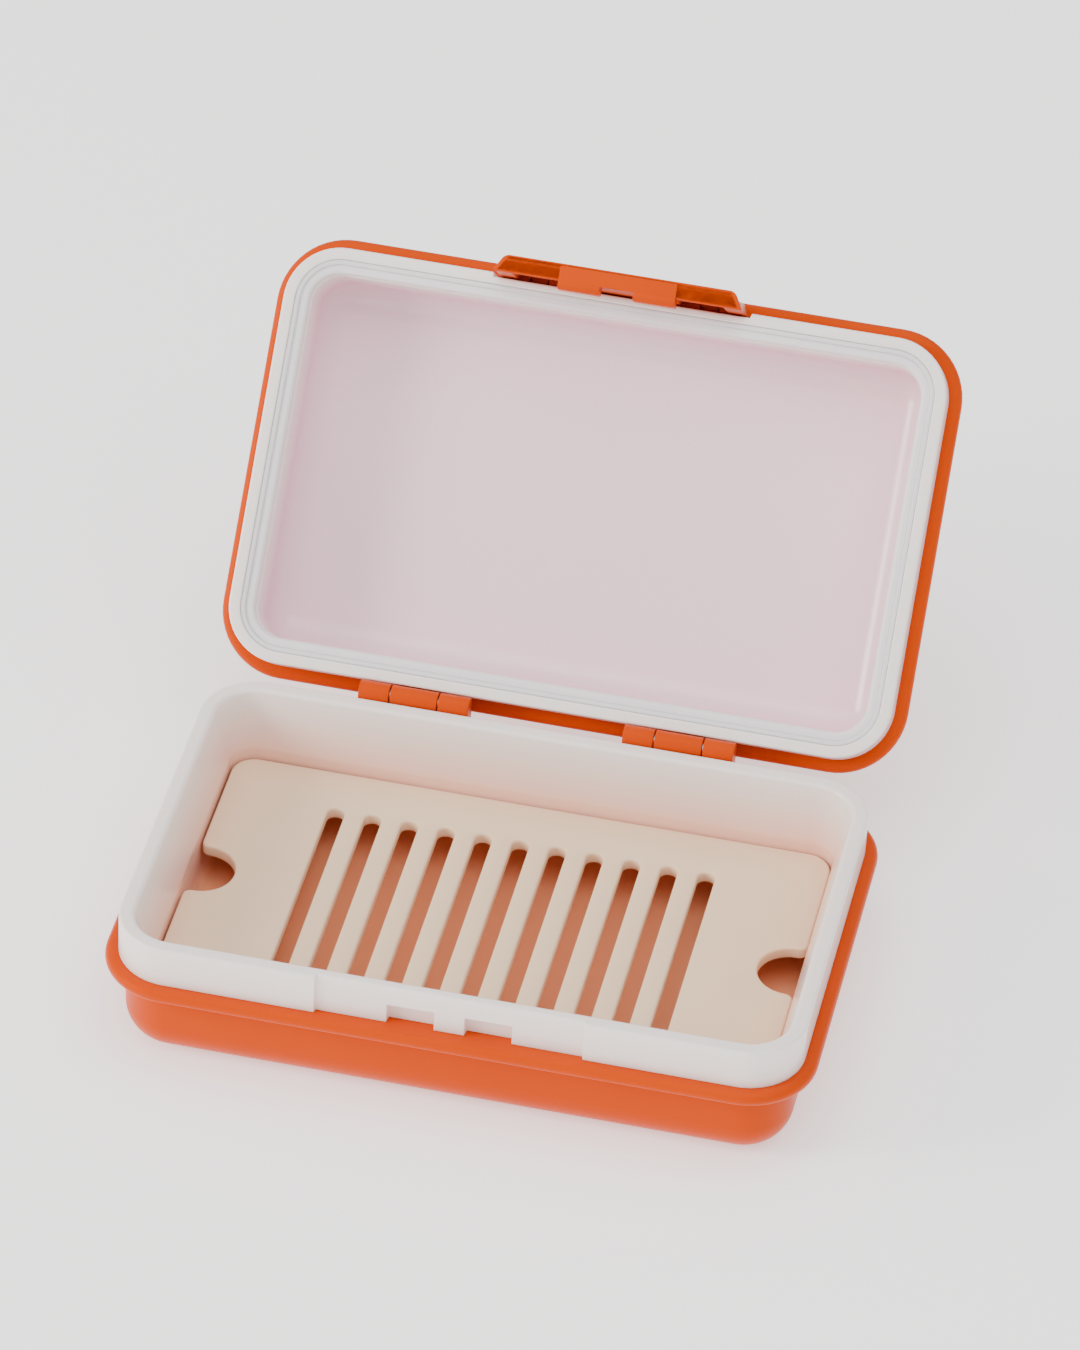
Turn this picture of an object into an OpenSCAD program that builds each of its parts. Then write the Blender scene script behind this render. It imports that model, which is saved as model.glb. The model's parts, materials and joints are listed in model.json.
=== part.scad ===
// Travel soap box: an orange case in two halves, white liners whose rims meet in a
// white band, a lift-out drain tray, a lid on two rear hinges and a latch at the front.
// Sizes are in millimetres. X runs along the box, Y from the latch to the hinges and
// Z up from the face it rests on. Every piece is drawn closed, then the lid and the
// latch are turned open.

/* [Case] */
// Length over the flanges
box_l = 125; // [110:1:150]
// Width over the flanges
box_w = 80; // [72:1:96]
// Corner radius of the flanges, seen from above
corner_r = 12.5; // [12:0.5:15]
// How far the flanges stand out from the walls
flange_reach = 3.6; // [3.2:0.1:4]
// Thickness of the flanges
flange_t = 2.5; // [2.2:0.1:3]
// Hollow fillet between a flange and its wall
flange_fillet = 1.2; // [0.6:0.1:1.6]

/* [Base] */
// Height of the base flange's upper face
base_h = 18; // [16:0.5:24]
// Wall and floor of the base shell
base_wall = 2.4; // [1.8:0.1:2.5]
// Radius of the base's bottom edge
base_edge_r = 7; // [5:0.5:8]

/* [Lid] */
// Height of the lid from its flange's lower face to the shoulders
lid_h = 14.8; // [13.5:0.1:20]
// Wall of the lid shell
lid_wall = 1.3; // [1.1:0.1:1.6]
// Radius of the lid's upper edge
lid_edge_r = 8.5; // [7:0.1:8.7]
// Width of the sunken band over the middle of the lid
band_w = 41.2; // [32:0.2:46]
// Depth of the sunken band
band_step = 1; // [0.6:0.1:1.2]
// Number of raised ribs on the band
rib_count = 3; // [1:1:4]
// Distance from rib to rib
rib_pitch = 10.3; // [7:0.1:10.4]
// Width of a rib
rib_w = 4.6; // [2:0.1:5]
// Height of a rib
rib_h = 0.8; // [0.4:0.1:1]
// Length of the ribs
rib_l = 91.8; // [60:0.2:95]

/* [Liners] */
// Height of the white rim over the base flange
base_rim_h = 8; // [7:0.5:10]
// Height of the white rim under the lid flange
lid_rim_h = 6; // [5:0.5:8]
// How far the rims stand in from the flanges' edge
rim_inset = 2.3; // [2:0.1:2.6]
// Width of the base liner's rim
base_rim_t = 2.7; // [2.5:0.1:3]
// Width of the lid liner's rim
lid_rim_t = 2.1; // [2:0.1:2.3]
// Wall of the base liner
base_liner_t = 1.6; // [1.2:0.1:1.8]
// Wall of the lid liner
lid_liner_t = 1; // [0.8:0.1:1.4]
// Gap between a liner and its shell
liner_gap = 0.2; // [0.1:0.05:0.3]

/* [Seal] */
// Height of the seal ring
seal_h = 1.9; // [1.4:0.1:2.2]
// Width of the seal ring
seal_w = 2.4; // [1.8:0.1:2.6]

/* [Tray] */
// Height of the tray's upper face
tray_top = 13; // [11:0.5:14.5]
// Thickness of the tray
tray_t = 2.4; // [1.8:0.1:2.8]
// Gap round the tray
tray_gap = 0.4; // [0.3:0.05:0.6]
// Number of drain slots
slot_count = 11; // [5:2:13]
// Distance from slot to slot
slot_pitch = 6.7; // [5.5:0.1:7]
// Width of a slot
slot_w = 3.1; // [2:0.1:3.5]
// Length of a slot
slot_l = 44; // [30:1:48]
// Width of a finger notch
notch_w = 12; // [10:0.5:16]
// Depth of a finger notch
notch_d = 7.5; // [6.5:0.5:9]
// How far each side of a notch is eased where it meets the tray's edge
notch_ease = 1.4; // [0.8:0.1:2]
// Radius of a tray foot
foot_r = 2.4; // [1.8:0.1:3]
// How far the feet stand in from the middles of the rounded corners, along the box
foot_in_x = 6; // [4:0.5:9]
// The same across the box
foot_in_y = 4; // [3:0.5:6]

/* [Hinges] */
// Opening angle at which the lid meets its stops
open_stop = 132; // [100:1:140]
// Distance between the two hinges, middle to middle
hinge_span = 48; // [40:1:66]
// Width of one hinge
hinge_w = 20; // [14:0.5:22]
// Width of a knuckle on the base
knuckle_w = 5.5; // [3.5:0.1:6]
// Radius of the knuckles
knuckle_r = 1.9; // [1.7:0.05:2]
// Radius of the hinge pins
hinge_pin_r = 0.9; // [0.7:0.05:1]

/* [Latch] */
// Width of the latch along its back edges
latch_w = 45.6; // [40:0.2:56]
// How much each side slants in from back to front
latch_bevel = 1.8; // [0.6:0.1:2.4]
// How much each side slants in from the hinge to the lip
latch_taper = 0.8; // [0:0.1:1]
// Thickness of the latch's plate
latch_t = 1.3; // [1.1:0.1:1.4]
// How far the latch's face sinks on its way down to the lip
latch_dish = 0.6; // [0.2:0.1:0.7]
// Radius of the latch's barrel
barrel_r = 1.25; // [1.15:0.05:1.3]
// Radius of the latch pin
latch_pin_r = 0.6; // [0.5:0.05:0.65]
// How far the finger lip stands out past the flanges
lip_out = 0.4; // [0:0.1:0.8]
// Thickness of the finger lip
lip_t = 1.2; // [1:0.1:1.6]
// How far the finger lip stands out at the sides
lip_side = 0.6; // [0:0.1:0.8]
// Radius of the finger lip's corners, seen from its end
lip_round = 1.6; // [0.8:0.1:2]
// How far the middle of the end plate stands out from the rest
pad_h = 0.25; // [0.1:0.05:0.4]
// Width of a hook
hook_w = 7.6; // [5:0.1:8]
// Gap between the two hooks
hook_gap = 6; // [4:0.1:8]
// How far a hook reaches into the base's rim
hook_reach = 1.2; // [0.8:0.1:1.3]
// Height of a hook
hook_h = 3.2; // [2.4:0.1:3.6]

/* [Pose] */
// Angle of the lid, from shut to its stops
lid_angle = 132; // [0:1:132]
// Angle of the latch from the lid's rim
latch_angle = 0; // [0:1:95]

/* [Hidden] */
$fn = 72;
eps = 0.01;
// Running gap round a pin, gap beside a moving piece, and gap between faces that meet
pin_gap = 0.05;
side_gap = 0.25;
meet_gap = 0.1;
// How far the ends of the hinge pins and of the latch pin lie in from their knuckles
hinge_pin_in = 0.3;
latch_pin_in = 1.2;
latch_bore_in = 1;

// Heights with the lid shut
z_part = base_h + base_rim_h;
z_lid = z_part + lid_rim_h;
z_top = z_lid + lid_h;
z_band = z_top - band_step;

// Middles of the rounded corners, and radii about them
cx = box_l / 2 - corner_r;
cy = box_w / 2 - corner_r;
wall_r = corner_r - flange_reach;
band_r = wall_r - band_step;
dome_flat = wall_r - lid_edge_r;
rim_r = corner_r - rim_inset;
base_in_r = wall_r - base_wall;
liner_r = base_in_r - liner_gap;
tub_r = liner_r - base_liner_t;
lid_in_r = band_r - lid_wall;
lid_liner_r = lid_in_r - liner_gap;
lid_tub_r = lid_liner_r - lid_liner_t;
tray_r = tub_r - tray_gap;
tray_round = 0.5;

// Base liner: its floor, and where its wall starts to lean out to the rim
lean_h = 3;
tub_floor = base_wall + liner_gap + base_liner_t;
lean_z = base_h - lean_h;
rim_round = 0.4;

// Seal ring, and the web of the lid liner over it
seal_in = 0.7;
seal_z = z_part + seal_in;
seal_bead_r = 0.45;
web_z = seal_z + seal_h;
web_t = 1.4;

// Rear hinge axis, clear of the rims, and the top of its stop
rim_gap = 0.2;
hinge_y = box_w / 2 - rim_inset + rim_gap + knuckle_r;
hinge_z = z_part;
stop_z = hinge_z - knuckle_r * tan(open_stop / 2) - meet_gap;
gusset = 1;

// Latch, from the front edge of the flanges inwards: the pocket that it lies in,
// its face, its axis, and its back and free end
front = -box_w / 2;
pocket = 3.1;
pocket_side = 0.6;
face_in = 0.25;
top_gap = 0.15;
back_gap = 0.35;
end_gap = 0.2;
side_t = 1.2;
latch_face = front + face_in;
latch_y = latch_face + barrel_r;
latch_z = z_lid - top_gap - barrel_r;
latch_back = front + pocket - back_gap;
latch_end = base_h + end_gap;
plate_end = latch_end + pad_h;

// Hooks: their tips, the slant that leads them in, and the room round them
hook_tip = front + pocket + hook_reach - meet_gap;
hook_lead = 0.8;
hook_room = 0.5;

// Lugs that hold the latch pin
lug_w = 3;
lug_x = 15.5;

orange = "#ff6a28";
white = "#f1ebe6";
cream = "#ece0d0";
clear = "#f4f1ee";
steel = "#b8bcc2";

// Half section of a plate whose upper or lower edge is rounded, from the corner's middle
module slab_section(r, z0, z1, round_r) {
    translate([0, z0]) square([r - round_r, z1 - z0]);
    translate([0, z0 + round_r]) square([r, z1 - z0 - 2 * round_r]);
    for (z = [z0 + round_r, z1 - round_r])
        translate([r - round_r, z]) circle(round_r);
}

// Half section of a tub turned upside down: a wall that rounds over into its top
module edge_section(r, edge_r, z0, z1) {
    translate([0, z0]) square([r - edge_r, z1 - z0]);
    translate([0, z0]) square([r, z1 - edge_r - z0]);
    translate([r - edge_r, z1 - edge_r]) intersection() {
        circle(edge_r);
        square(edge_r);
    }
}

// Hollow fillet in the corner at (r, z), towards up = 1 or down = -1
module hollow_fillet(r, z, f, up) {
    translate([r, z]) mirror([0, up > 0 ? 0 : 1]) difference() {
        translate([-eps, -eps]) square(f + eps);
        translate([f, f]) circle(f);
    }
}

// Carries a half section round the box
module around() {
    for (c = [[1, 1, 0], [-1, 1, 90], [-1, -1, 180], [1, -1, 270]])
        translate([c.x * cx, c.y * cy, 0]) rotate([0, 0, c.z])
            rotate_extrude(angle = 90) children();
    for (m = [0, 1]) {
        mirror([0, m, 0]) translate([-cx, cy, 0]) rotate([90, 0, 90])
            linear_extrude(2 * cx) children();
        mirror([m, 0, 0]) translate([cx, cy, 0]) rotate([90, 0, 0])
            linear_extrude(2 * cy) children();
    }
}

// The same, with the middle filled between two heights
module filled(z0, z1) {
    around() children();
    translate([-cx, -cy, z0]) cube([2 * cx, 2 * cy, z1 - z0]);
}

// Outer form of the base, and the hollow that the liner drops into
module base_form(r, edge_r, z0, z1) {
    filled(z0, z1) mirror([0, 1]) edge_section(r, edge_r, -z1, -z0);
}

// Outer form of the lid, and the hollow in it
module dome_form(r, z0, z1) {
    filled(z0, z1) edge_section(r, r - dome_flat, z0, z1);
}

module along_x(x0, x1) {
    translate([x0, 0, 0]) rotate([90, 0, 90]) linear_extrude(x1 - x0) children();
}

module hinge_axis_bore(r, x0, x1) {
    translate([x0, hinge_y, hinge_z]) rotate([0, 90, 0]) cylinder(r = r, h = x1 - x0);
}

// Turns a piece of the lid open about the hinge axis
module lid_pose() {
    translate([0, hinge_y, hinge_z]) rotate([-lid_angle, 0, 0])
        translate([0, -hinge_y, -hinge_z]) children();
}

// Turns the latch out from the lid's rim
module latch_pose() {
    lid_pose() translate([0, latch_y, latch_z]) rotate([-latch_angle, 0, 0])
        translate([0, -latch_y, -latch_z]) children();
}

module base_shell() {
    color(orange) difference() {
        union() {
            base_form(wall_r, base_edge_r, 0, base_h);
            around() slab_section(corner_r, base_h - flange_t, base_h, flange_t / 2 - eps);
            around() hollow_fillet(wall_r, base_h - flange_t, flange_fillet, -1);
            for (s = [-1, 1]) base_knuckles(s * hinge_span / 2);
        }
        base_form(base_in_r, base_edge_r - base_wall, base_wall, base_h + eps);
        for (s = [-1, 1])
            hinge_axis_bore(hinge_pin_r + pin_gap / 2, s * hinge_span / 2 - hinge_w,
                            s * hinge_span / 2 + hinge_w);
    }
}

// Two knuckles with the stop between them that the lid's knuckle leans on when open
module base_knuckles(x) {
    foot = base_h - flange_t / 2;
    for (s = [-1, 1])
        along_x(x + s * (hinge_w - knuckle_w) / 2 - knuckle_w / 2,
                x + s * (hinge_w - knuckle_w) / 2 + knuckle_w / 2) {
            translate([hinge_y, hinge_z]) circle(knuckle_r);
            translate([hinge_y - knuckle_r, foot])
                square([2 * knuckle_r, hinge_z - foot]);
        }
    along_x(x - hinge_w / 2, x + hinge_w / 2)
        translate([hinge_y - knuckle_r, foot]) square([2 * knuckle_r, stop_z - foot]);
    along_x(x - hinge_w / 2, x + hinge_w / 2)
        polygon([[hinge_y - knuckle_r, base_h - flange_t],
                 [box_w / 2 - flange_t / 2, base_h - flange_t],
                 [hinge_y + knuckle_r, foot], [hinge_y + knuckle_r, foot + gusset],
                 [hinge_y - knuckle_r, foot + gusset]]);
}

module base_liner() {
    color(white) difference() {
        union() {
            base_form(liner_r, base_edge_r - base_wall - liner_gap,
                      base_wall + liner_gap, base_h + 1);
            around() rim_section();
        }
        tub_hollow();
        latch_pocket(base_h, z_part + eps);
        hook_recess();
    }
}

// The white rim over the base flange
module rim_section() {
    translate([0, base_h]) square([rim_r, base_rim_h - rim_round]);
    translate([0, z_part - rim_round]) square([rim_r - rim_round, rim_round]);
    translate([rim_r - rim_round, z_part - rim_round]) circle(rim_round);
}

// The inside of the base liner: upright walls that lean out to the rim
module tub_hollow() {
    lip_r = rim_r - base_rim_t;
    base_form(tub_r, base_edge_r - base_wall - liner_gap - base_liner_t, tub_floor, lean_z);
    filled(lean_z - eps, z_part + eps)
        polygon([[0, lean_z - eps], [tub_r, lean_z - eps], [tub_r, lean_z],
                 [lip_r, z_part - rim_round], [lip_r, z_part + eps], [0, z_part + eps]]);
}

// Flat that sets the rims back behind the latch
module latch_pocket(z0, z1) {
    half = latch_w / 2 + pocket_side;
    translate([-half, front, z0]) cube([2 * half, pocket, z1 - z0]);
}

// Undercut below the rim that the hooks spring into, with a post left between them
module hook_recess() {
    half = hook_w / 2 + side_gap;
    for (s = [-1, 1])
        translate([s * (hook_gap + hook_w) / 2 - half, front, base_h])
            cube([2 * half, pocket + hook_reach + side_gap, hook_h + hook_room + side_gap]);
}

module drain_tray() {
    color(cream) {
        difference() {
            filled(tray_top - tray_t, tray_top)
                slab_section(tray_r, tray_top - tray_t, tray_top, tray_round);
            drain_slots();
            for (m = [0, 1]) mirror([m, 0, 0]) finger_notch();
        }
        for (x = [-1, 1], y = [-1, 1])
            translate([x * (cx - foot_in_x), y * (cy - foot_in_y), tub_floor])
                cylinder(r = foot_r, h = tray_top - tray_t - tub_floor + eps);
    }
}

module drain_slots() {
    straight = slot_l - slot_w;
    through_tray() for (i = [0 : slot_count - 1])
        translate([(i - (slot_count - 1) / 2) * slot_pitch, 0]) {
            square([slot_w, straight], center = true);
            for (s = [-1, 1]) translate([0, s * straight / 2]) circle(slot_w / 2);
        }
}

// Round-ended notch in the tray's short side, with an eased mouth
module finger_notch() {
    half = notch_w / 2;
    through_tray() translate([cx + tray_r, 0]) {
        translate([half - notch_d, -half]) square([notch_d - half + 1, notch_w]);
        translate([half - notch_d, 0]) circle(half);
        for (m = [0, 1]) mirror([0, m]) translate([-notch_ease, half]) difference() {
            square([notch_ease + 1, notch_ease]);
            translate([0, notch_ease]) circle(notch_ease);
        }
    }
}

module through_tray() {
    translate([0, 0, tray_top - tray_t - 1]) linear_extrude(tray_t + 2) children();
}

module lid_shell() {
    color(orange) lid_pose() difference() {
        union() {
            difference() {
                lid_form(wall_r, z_top);
                translate([-box_l / 2, -band_w / 2, z_lid + flange_t])
                    cube([box_l, band_w, lid_h]);
            }
            lid_form(band_r, z_band);
            around() slab_section(corner_r, z_lid, z_lid + flange_t, flange_t / 2 - eps);
            lid_ribs();
            for (s = [-1, 1]) lid_knuckle(s * hinge_span / 2);
            for (s = [-1, 1]) latch_lug(s * lug_x);
        }
        dome_form(lid_in_r, z_lid - eps, z_band - lid_wall);
        shoulder_hollows();
        for (s = [-1, 1])
            hinge_axis_bore(hinge_pin_r + pin_gap, s * hinge_span / 2 - hinge_w,
                            s * hinge_span / 2 + hinge_w);
        latch_axis_bore(latch_pin_r + pin_gap / 2);
    }
}

// Dome with the fillet that carries it into the flange
module lid_form(r, z) {
    dome_form(r, z_lid, z);
    around() hollow_fillet(r - eps, z_lid + flange_t, flange_fillet, 1);
}

// The hollow rises into the shoulders, so that the wall is even
module shoulder_hollows() {
    y0 = band_w / 2 + lid_wall;
    difference() {
        dome_form(wall_r - lid_wall, z_lid + flange_t, z_top - lid_wall);
        translate([-box_l / 2, -y0, z_lid]) cube([box_l, 2 * y0, lid_h]);
    }
}

module lid_ribs() {
    for (i = [0 : rib_count - 1])
        translate([-rib_l / 2, (i - (rib_count - 1) / 2) * rib_pitch - rib_w / 2, z_band - eps])
            cube([rib_l, rib_w, rib_h + eps]);
}

// Knuckle that hangs from the lid's flange between the two on the base
module lid_knuckle(x) {
    w = hinge_w - 2 * knuckle_w - 2 * side_gap;
    top = z_lid + flange_t / 2;
    along_x(x - w / 2, x + w / 2) {
        translate([hinge_y, hinge_z]) circle(knuckle_r);
        translate([hinge_y - knuckle_r, hinge_z]) square([2 * knuckle_r, top - hinge_z]);
        polygon([[hinge_y - knuckle_r, top - gusset], [hinge_y + knuckle_r, top - gusset],
                 [hinge_y + knuckle_r, top], [box_w / 2 - flange_t / 2, z_lid + flange_t],
                 [hinge_y - knuckle_r, z_lid + flange_t]]);
    }
}

// Lug under the lid's flange that holds the latch pin
module latch_lug(x) {
    along_x(x - lug_w / 2, x + lug_w / 2) {
        translate([latch_y, latch_z]) circle(barrel_r);
        translate([latch_y - barrel_r, latch_z])
            square([2 * barrel_r, z_lid + flange_t / 2 - latch_z]);
    }
}

module latch_axis_bore(r) {
    half = latch_w / 2 - latch_bore_in;
    translate([-half, latch_y, latch_z]) rotate([0, 90, 0]) cylinder(r = r, h = 2 * half);
}

module lid_liner() {
    color(white) lid_pose() difference() {
        union() {
            dome_form(lid_liner_r, z_part, z_band - lid_wall - liner_gap);
            around() lid_rim_section();
        }
        dome_form(lid_tub_r, z_part - eps, z_band - lid_wall - liner_gap - lid_liner_t);
        filled(z_part - eps, web_z) translate([0, z_part - eps])
            square([rim_r - lid_rim_t, web_z - z_part + eps]);
        around() translate([lid_liner_r, web_z + web_t])
            square([rim_r - lid_rim_t - lid_liner_r, z_lid - web_z]);
        latch_pocket(z_part - eps, z_lid);
    }
}

// The white rim under the lid flange, and the web that joins it to the tub
module lid_rim_section() {
    translate([0, z_part + rim_round]) square([rim_r, lid_rim_h - rim_round]);
    translate([0, z_part]) square([rim_r - rim_round, rim_round]);
    translate([rim_r - rim_round, z_part + rim_round]) circle(rim_round);
}

// Soft ring with a bead along the inside of the rim
module lid_seal() {
    r = rim_r - lid_rim_t - meet_gap;
    color(clear) lid_pose() around() {
        translate([r - seal_w, seal_z]) square([seal_w, seal_h - meet_gap]);
        translate([r - seal_bead_r, seal_z]) circle(seal_bead_r);
    }
}

module latch() {
    color(orange) latch_pose() difference() {
        union() {
            difference() {
                along_x(-latch_w / 2, latch_w / 2) latch_section();
                latch_hollow();
                for (m = [0, 1]) mirror([m, 0, 0]) latch_side_cut();
            }
            finger_lip();
            latch_block();
            for (s = [-1, 1]) hook(s * (hook_gap + hook_w) / 2);
        }
        for (s = [-1, 1]) lug_clearance(s * lug_x);
        latch_axis_bore(latch_pin_r + pin_gap);
    }
}

// Side view of the latch: its barrel, and a body whose face sinks down to the lip
module latch_section() {
    sunk = latch_face + latch_dish;
    lip_top = latch_end + lip_t;
    translate([latch_y, latch_z]) circle(barrel_r);
    polygon([[latch_face, latch_z], [sunk, lip_top], [sunk, plate_end], [latch_back, plate_end],
             [latch_back, latch_z]]);
    mirror([1, 0]) hollow_fillet(-sunk, lip_top, sunk - front + lip_out, 1);
}

// Leaves the plate and the two side walls of the latch
module latch_hollow() {
    half = latch_w / 2 - latch_bevel - latch_taper - side_t;
    roof = latch_z - barrel_r - side_gap;
    along_x(-half, half)
        polygon([[latch_face + latch_t, roof], [latch_face + latch_dish + latch_t, latch_end - 1],
                 [latch_back + 1, latch_end - 1], [latch_back + 1, roof]]);
}

// Slants one side of the latch in towards its face and towards its free end
module latch_side_cut() {
    bevel_angle = atan(latch_bevel / (latch_back - front));
    taper_angle = atan(latch_taper / (latch_z - latch_end));
    reach = 2 * lid_h;
    translate([latch_w / 2, latch_back, latch_z]) rotate([0, taper_angle, -bevel_angle])
        translate([0, -reach, -reach]) cube(2 * reach);
}

// End plate of the latch that stands out as a lip for the finger
module finger_lip() {
    half = latch_w / 2 - latch_taper + lip_side;
    tip = front - lip_out;
    slant = atan(latch_bevel / (latch_back - tip));
    // Middle of the round in the corner between the tip and the slanting side
    round_x = half - latch_bevel + lip_round * (tan(slant) - 1 / cos(slant));
    translate([0, 0, plate_end]) linear_extrude(lip_t - pad_h) {
        difference() {
            polygon([[-half, latch_back], [latch_bevel - half, tip],
                     [half - latch_bevel, tip], [half, latch_back]]);
            for (s = [-1, 1]) translate([s * half - (s + 1) / 2 * (half - round_x), tip - eps])
                square([half - round_x, lip_round + eps]);
        }
        for (s = [-1, 1]) translate([s * round_x, tip + lip_round]) circle(lip_round);
    }
}

// Thick middle of the latch that carries the hooks, and stands out from the end plate
module latch_block() {
    half = hook_gap / 2 + hook_w;
    translate([-half, latch_y, latch_end])
        cube([2 * half, latch_back - latch_y, latch_z - barrel_r - latch_end]);
    translate([-half, front, latch_end]) cube([2 * half, latch_back - front, lip_t]);
}

module hook(x) {
    along_x(x - hook_w / 2, x + hook_w / 2)
        polygon([[latch_y, latch_end], [hook_tip - hook_lead, latch_end],
                 [hook_tip, latch_end + hook_lead], [hook_tip, latch_end + hook_h],
                 [latch_y, latch_end + hook_h]]);
}

// Room in the latch for a lug on the lid, also when the latch is swung out
module lug_clearance(x) {
    room = barrel_r + side_gap;
    along_x(x - lug_w / 2 - side_gap, x + lug_w / 2 + side_gap)
        translate([latch_face - 1, latch_z - room]) square([pocket + 1, 2 * room]);
}

module latch_pin() {
    half = latch_w / 2 - latch_pin_in;
    color(steel) lid_pose() translate([-half, latch_y, latch_z]) rotate([0, 90, 0])
        cylinder(r = latch_pin_r, h = 2 * half);
}

module hinge_pin(x) {
    half = hinge_w / 2 - hinge_pin_in;
    color(steel) translate([x - half, hinge_y, hinge_z]) rotate([0, 90, 0])
        cylinder(r = hinge_pin_r, h = 2 * half);
}

module hinge_pin_left() { hinge_pin(-hinge_span / 2); }
module hinge_pin_right() { hinge_pin(hinge_span / 2); }

base_shell();
base_liner();
drain_tray();
lid_shell();
lid_liner();
lid_seal();
latch();
latch_pin();
hinge_pin_left();
hinge_pin_right();
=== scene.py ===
"""Travel soap box in moulded plastic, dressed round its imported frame.

An orange polypropylene case in two halves with white liners, a cream lift-out drain
tray, a silicone seal in the lid and a latch at the front. Sizes are in millimetres and
turned to metres when a mesh is made. Pieces of the lid and the latch are worked out
shut, as they are moulded, then turned open about the hinge axis of the frame.
"""

import json
import logging
import math
from collections.abc import Callable, Sequence
from dataclasses import dataclass, replace
from enum import Enum

import bmesh
import bpy
import numpy as np
from mathutils import Matrix, Vector
from mathutils.geometry import tessellate_polygon


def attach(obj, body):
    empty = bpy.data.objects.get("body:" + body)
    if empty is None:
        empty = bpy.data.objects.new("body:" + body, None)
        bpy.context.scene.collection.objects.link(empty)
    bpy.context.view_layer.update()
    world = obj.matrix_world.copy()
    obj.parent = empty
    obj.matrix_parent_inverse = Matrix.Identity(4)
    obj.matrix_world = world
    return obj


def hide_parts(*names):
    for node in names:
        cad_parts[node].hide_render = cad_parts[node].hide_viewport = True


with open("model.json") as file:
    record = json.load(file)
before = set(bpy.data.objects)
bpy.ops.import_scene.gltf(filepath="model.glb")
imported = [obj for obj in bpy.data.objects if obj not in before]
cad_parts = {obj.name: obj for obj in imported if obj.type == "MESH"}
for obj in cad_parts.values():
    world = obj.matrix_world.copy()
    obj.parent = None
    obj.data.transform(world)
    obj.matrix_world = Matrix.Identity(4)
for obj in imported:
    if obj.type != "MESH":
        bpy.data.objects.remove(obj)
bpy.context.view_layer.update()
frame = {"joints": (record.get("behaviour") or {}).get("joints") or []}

LOG = logging.getLogger("soap_box")
MM = 0.001
# Distance of the support points beside a rounding, and at most this share of the free
# length of an edge
SUPPORT = 0.3
SUPPORT_SHARE = 0.3
# Sample places across a soft edge, in widths of it, and the distance from it within
# which there are no others
EDGE_PLACES = (-1.1, -0.5, -0.3, -0.1, 0.1, 0.3, 0.5, 1.1)
EDGE_CLEAR = 1.3
# Least gap between sample places, and distance at which points are one
LEAST_GAP = 0.02
DOUBLE = 0.003
# How far solids of one piece reach into one another, and how far apart their faces are
# kept where they would lie in one plane
OVERLAP = 0.3
APART = 0.02


class Slot(Enum):
    """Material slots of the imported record."""

    CASE = "case_plastic"
    LINER = "liner_plastic"
    TRAY = "tray_plastic"
    SEAL = "seal_silicone"
    PIN = "pin_steel"


class Body(Enum):
    """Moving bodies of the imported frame."""

    BASE = "base"
    TRAY = "tray"
    LID = "lid"
    LATCH = "latch"


class Axis(Enum):
    """Lines along which a profile is carried."""

    X = "along the box"
    Z = "upright"


# Finishes


def linear(hex_code: str) -> tuple[float, float, float, float]:
    """Turns an sRGB hex colour to linear RGBA.

    Args:
        hex_code: colour such as "#ff6a28".

    Returns:
        Linear red, green, blue and an alpha of 1.
    """
    srgb = np.array([int(hex_code[i : i + 2], 16) for i in (1, 3, 5)]) / 255
    rgb = np.where(srgb <= 0.04045, srgb / 12.92, ((srgb + 0.055) / 1.055) ** 2.4)
    return (*(float(c) for c in rgb), 1.0)


def add_node(
    tree: bpy.types.NodeTree,
    kind: str,
    inputs: dict | None = None,
    links: dict | None = None,
    **settings: object,
) -> bpy.types.Node:
    """Adds one node with its settings, values and incoming links.

    Args:
        tree: node tree that the node joins.
        kind: Blender's name of the node type.
        inputs: socket name or number to value.
        links: socket name or number to the output socket that feeds it.
        settings: attributes of the node itself.

    Returns:
        The new node.
    """
    node = tree.nodes.new(kind)
    for name, value in settings.items():
        setattr(node, name, value)
    for name, value in (inputs or {}).items():
        node.inputs[name].default_value = value
    for name, socket in (links or {}).items():
        tree.links.new(socket, node.inputs[name])
    return node


def add_noise(
    tree: bpy.types.NodeTree,
    place: bpy.types.NodeSocket,
    size_mm: float,
    detail: float,
) -> bpy.types.NodeSocket:
    """Adds soft noise.

    Args:
        tree: node tree that the noise joins.
        place: coordinates that it reads.
        size_mm: how far its blobs are across.
        detail: number of finer layers on them.

    Returns:
        The socket with its value, from 0 to 1.
    """
    node = add_node(
        tree,
        "ShaderNodeTexNoise",
        {"Scale": 1 / (size_mm * MM), "Detail": detail, "Roughness": 0.5},
        {"Vector": place},
    )
    return node.outputs["Fac"]


@dataclass(frozen=True)
class Finish:
    """Finish of a piece, whose material is built once."""

    name: str
    colour: str

    def material(self) -> bpy.types.Material:
        """Builds the material on the first call and finds it again on later ones.

        Returns:
            The material.
        """
        found = bpy.data.materials.get(self.name)
        if found:
            return found
        mat = bpy.data.materials.new(self.name)
        mat.use_nodes = True
        tree = mat.node_tree
        tree.nodes.clear()
        place = add_node(tree, "ShaderNodeTexCoord").outputs["Object"]
        surface = self.shader(tree, place).outputs["BSDF"]
        add_node(tree, "ShaderNodeOutputMaterial", links={"Surface": surface})
        return mat

    def shader(
        self, tree: bpy.types.NodeTree, place: bpy.types.NodeSocket
    ) -> bpy.types.Node:
        """Adds the nodes of the surface.

        Args:
            tree: node tree of the material.
            place: coordinates that its patterns read.

        Returns:
            The shader node.
        """
        raise NotImplementedError


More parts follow.
